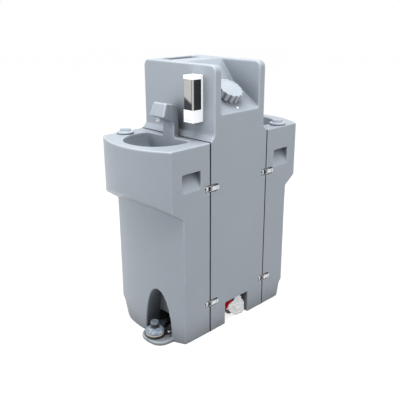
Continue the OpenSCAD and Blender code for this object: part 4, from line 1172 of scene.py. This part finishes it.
class STATION_OT_hoses(bpy.types.Operator):
    """Lay the rubber hoses along their routes, and dress their clamps and fittings"""

    bl_idname = "station.hoses"
    bl_label = "Hoses"

    def execute(self, context):
        sizes = context.scene.station_hose
        for name, route in (("suction", SUCTION_ROUTE), ("supply", SUPPLY_ROUTE)):
            line = hose_points([Vector(point) / 1000 for point in route], sizes.steps)
            add_pair(f"_{name}_line", hose_mesh(line, sizes.radius), "hose", f"_{name}_hose")
        dress("hose_clamps", "steel", 0.0003)
        dress("hose_fittings", "steel", 0.0005)
        return {"FINISHED"}


# Soap dispensers


class STATION_OT_dispensers(bpy.types.Operator):
    """Round the dispensers' white covers and levers, and dress their plates, bottles and screws"""

    bl_idname = "station.dispensers"
    bl_label = "Soap dispensers"

    def execute(self, context):
        sizes = context.scene.station_moulding
        voxel = sizes.cover_voxel * 1
        for part in ("shell", "lid", "lever"):
            mesh = moulded("front_dispenser_" + part, voxel, sizes.cover_passes, sizes.cover_faces)
            for piece in add_pair("_soap_" + part, mesh, "white", "_dispenser_" + part):
                piece.modifiers.new("Shading", "WEIGHTED_NORMAL")
        dress("dispenser_fronts", "bright", 0.0004)
        dress("dispenser_sides", "gloss", 0.0005)
        dress("soap_bottles", "bottle", 0.002)
        dress("soap_spouts", "white", 0.0008)
        dress("dispenser_screws", "steel", 0.0004)
        return {"FINISHED"}


# Drain


FOLD_SCALES = (22, 48, 120)
FOLD_SEED = Vector((3.1, 7.7, 1.9))
SMALL_FOLDS = 0.6
BAG_FULLNESS = 2.4
BAG_OUTLINE = [
    (27, 117), (53, 84), (74, 36), (79, 18), (74, 3), (58, -5), (41, -6), (7, 9), (-27, 34), (-49, 58),
    (-53, 70), (-46, 82), (-25, 91), (-8, 93), (-2, 104), (10, 113),
]
BAG_MIDDLE = (18, 56)
BAG_SLACK = 2
FOLD_SHARES = Vector((1.5, 0.35, 0.35))
BAG_SPREAD = Vector((0, 0.008, 0))


def bag_folds(place):
    """Depths of a film's folds at a point, in three sizes of crease."""
    large = noise.noise(place * FOLD_SCALES[0] + FOLD_SEED)
    sharp = 1 - 2 * abs(noise.noise(place * FOLD_SCALES[1] + FOLD_SEED))
    small = 1 - 2 * abs(noise.noise(place * FOLD_SCALES[2] - FOLD_SEED))
    return large, sharp, small


def outline_reach(angle):
    """Distance of the bag's outline from its middle in a direction."""
    offsets = [(y - BAG_MIDDLE[0], z - BAG_MIDDLE[1]) for y, z in BAG_OUTLINE]
    angles, reaches = zip(*sorted((math.atan2(z, y), math.hypot(y, z)) for y, z in offsets))
    return float(np.interp(angle, angles, reaches, period=math.tau) + BAG_SLACK) / 1000


def crumpled_bag(low, high, crumple, crease, levels):
    """Loose bag that leans over the wheel: slack film drawn into folds inside an outline."""
    middle, half = (low + high) / 2, (high - low) / 2
    bm = bmesh.new()
    bmesh.ops.create_icosphere(bm, subdivisions=levels, radius=1)
    for vert in bm.verts:
        unit = vert.co.normalized()
        across = math.hypot(unit.y, unit.z)
        power = 1 / (abs(unit.x) ** BAG_FULLNESS + across**BAG_FULLNESS) ** (1 / BAG_FULLNESS)
        angle = math.atan2(unit.z, unit.y)
        reach = outline_reach(angle) * across * power
        place = Vector((half.x * unit.x * power, reach * math.cos(angle), reach * math.sin(angle)))
        place += Vector((middle.x, BAG_MIDDLE[0] / 1000, BAG_MIDDLE[1] / 1000))
        large, sharp, small = bag_folds(place)
        depth = crumple * abs(large) + crease * (sharp + SMALL_FOLDS * small)
        vert.co = place - unit * FOLD_SHARES * depth
    for vert in bm.verts:
        for axis in range(3):
            spread = BAG_SPREAD[axis]
            vert.co[axis] = min(max(vert.co[axis], low[axis] - spread), high[axis] + spread)
    return closed_mesh(bm)


class STATION_OT_drain(bpy.types.Operator):
    """Dress the drain valve, round its red wheel and crumple the loose bag in front of it"""

    bl_idname = "station.drain"
    bl_label = "Drain valve and bag"

    def execute(self, context):
        sizes = context.scene.station_moulding
        bag = context.scene.station_bag
        dress("drain_valve_body", "brass", 0.0008)
        voxel = sizes.cover_voxel * 1
        wheel = moulded("drain_valve_handle", voxel, sizes.cover_passes, sizes.cover_faces)
        piece = add_piece("red_handwheel", wheel, "wheel", "drain_valve_handle")
        piece.modifiers.new("Shading", "WEIGHTED_NORMAL")
        low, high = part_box("drain_bag")
        film = crumpled_bag(low, high, bag.crumple, bag.crease, bag.levels)
        piece = add_piece("loose_bag", film, "film", "drain_bag")
        return {"FINISHED"}


# Latches


class STATION_OT_latches(bpy.types.Operator):
    """Dress the plates, rivets, levers and loops of the eight latches"""

    bl_idname = "station.latches"
    bl_label = "Latches"

    def execute(self, context):
        dress("latch_plates", "steel", 0.0003)
        dress("latch_rivets", "steel", 0.0006)
        for name in latch_nodes():
            dress(name, "steel", 0.0003)
        return {"FINISHED"}


# Stage


VIEW_FROM = (1.99714151, -2.01300662, 1.56082085)
VIEW_ALONG = (-0.67125483, 0.66666265, -0.32400287)
VIEW_ROLL = -0.23750
SENSOR = 36
FLOOR_SIDE = 30
FLOOR_GREY, FLOOR_WHITE = 0.42, 0.8


def seen_plainly(tree):
    """1 where the camera looks, straight or through a mirror or glass, and 0 for all other light."""
    path = tree.nodes.new("ShaderNodeLightPath").outputs
    seen = Field(tree, path["Is Camera Ray"])
    for ray in ("Is Glossy Ray", "Is Transmission Ray"):
        seen = seen.math("MAXIMUM", path[ray])
    return seen


def make_floor():
    """Floor that looks white, and lights the station from below as a grey one does."""
    bpy.ops.mesh.primitive_plane_add(size=FLOOR_SIDE)
    floor = bpy.context.object
    floor.name = "floor"
    material = new_material("Floor")
    tree = material.node_tree
    principled(tree, (FLOOR_GREY,) * 3, 1.0, Specular_IOR_Level=0)
    white = add_node(tree, "Emission", {"Strength": seen_plainly(tree) * FLOOR_WHITE})
    surface = tree.nodes["Principled BSDF"].outputs[0]
    both = add_node(tree, "AddShader", {0: surface, 1: white.outputs[0]})
    connect(tree, tree.nodes["Material Output"].inputs["Surface"], both.outputs[0])
    floor.data.materials.append(material)


def make_sky(strength):
    """White sky that lights the station evenly."""
    world = bpy.data.worlds.new("Studio")
    bpy.context.scene.world = world
    world.use_nodes = True
    tree = world.node_tree
    sky = tree.nodes["Background"].inputs
    sky["Color"].default_value = (1, 1, 1, 1)
    connect(tree, sky["Strength"], seen_plainly(tree) * (1.0 - strength) + strength)


def make_lamp(name, power, size, place, target):
    """Soft rectangular lamp that shines at a target."""
    lamp = bpy.data.lights.new(name, "AREA")
    lamp.energy = power
    lamp.shape = "RECTANGLE"
    lamp.size, lamp.size_y = size
    holder = put_in_scene(name, lamp)
    holder.location = place
    holder.rotation_mode = "QUATERNION"
    holder.rotation_quaternion = (Vector(target) - Vector(place)).to_track_quat("-Z", "Y")


def make_camera(lens):
    """Camera at the photograph's place."""
    camera = bpy.data.cameras.new("camera")
    camera.lens = lens
    camera.sensor_width = SENSOR
    holder = put_in_scene("camera", camera)
    holder.location = VIEW_FROM
    holder.rotation_mode = "QUATERNION"
    level = Vector(VIEW_ALONG).to_track_quat("-Z", "Y")
    holder.rotation_quaternion = level @ Quaternion((0, 0, 1), math.radians(VIEW_ROLL))
    bpy.context.scene.camera = holder


class STATION_OT_stage(bpy.types.Operator):
    """Set up the white studio: floor, even light, three soft lamps and the camera"""

    bl_idname = "station.stage"
    bl_label = "Stage"

    def execute(self, context):
        settings = context.scene.station_stage
        context.scene.view_settings.view_transform = "Standard"
        make_floor()
        make_sky(settings.sky)
        make_lamp("overhead", settings.top, (2.6, 2.6), (0.4, -0.5, 3.4), (0, 0, 0.8))
        make_lamp("front", settings.key, (2.2, 2.2), (-1.0, -3.2, 1.7), (0, 0, 0.7))
        make_lamp("side", settings.side, (1.6, 2.2), (3.4, 0.6, 1.6), (0, 0, 0.7))
        make_camera(settings.lens)
        return {"FINISHED"}


OPERATORS = (
    STATION_OT_tanks,
    STATION_OT_fill_cap,
    STATION_OT_waste_caps,
    STATION_OT_basin_fittings,
    STATION_OT_foot_pumps,
    STATION_OT_hoses,
    STATION_OT_dispensers,
    STATION_OT_drain,
    STATION_OT_latches,
    STATION_OT_stage,
)


class STATION_PT_pieces(bpy.types.Panel):
    """Lists what builds the station, with its sizes and colours"""

    bl_label = "Handwash station"
    bl_idname = "STATION_PT_pieces"
    bl_space_type = "VIEW_3D"
    bl_region_type = "UI"
    bl_category = "Station"

    def draw(self, context):
        for operator in OPERATORS:
            self.layout.operator(operator.bl_idname)
        for name in SETTINGS:
            group = getattr(context.scene, name)
            box = self.layout.box()
            for field in group.__annotations__:
                box.prop(group, field)


SETTINGS = {
    "station_colours": StationColours,
    "station_moulding": MouldingSizes,
    "station_caps": CapSizes,
    "station_pump": PumpSizes,
    "station_hose": HoseSizes,
    "station_bag": BagSizes,
    "station_stage": StageSettings,
}


def register():
    for cls in (*SETTINGS.values(), *OPERATORS, STATION_PT_pieces):
        bpy.utils.register_class(cls)
    for name, group in SETTINGS.items():
        setattr(bpy.types.Scene, name, PointerProperty(type=group))


def unregister():
    for name in SETTINGS:
        delattr(bpy.types.Scene, name)
    for cls in reversed((*SETTINGS.values(), *OPERATORS, STATION_PT_pieces)):
        bpy.utils.unregister_class(cls)


def main():
    """Build every piece and the stage."""
    register()
    for operator in OPERATORS:
        getattr(bpy.ops.station, operator.bl_idname.split(".")[1])()


if __name__ == "__main__":
    main()
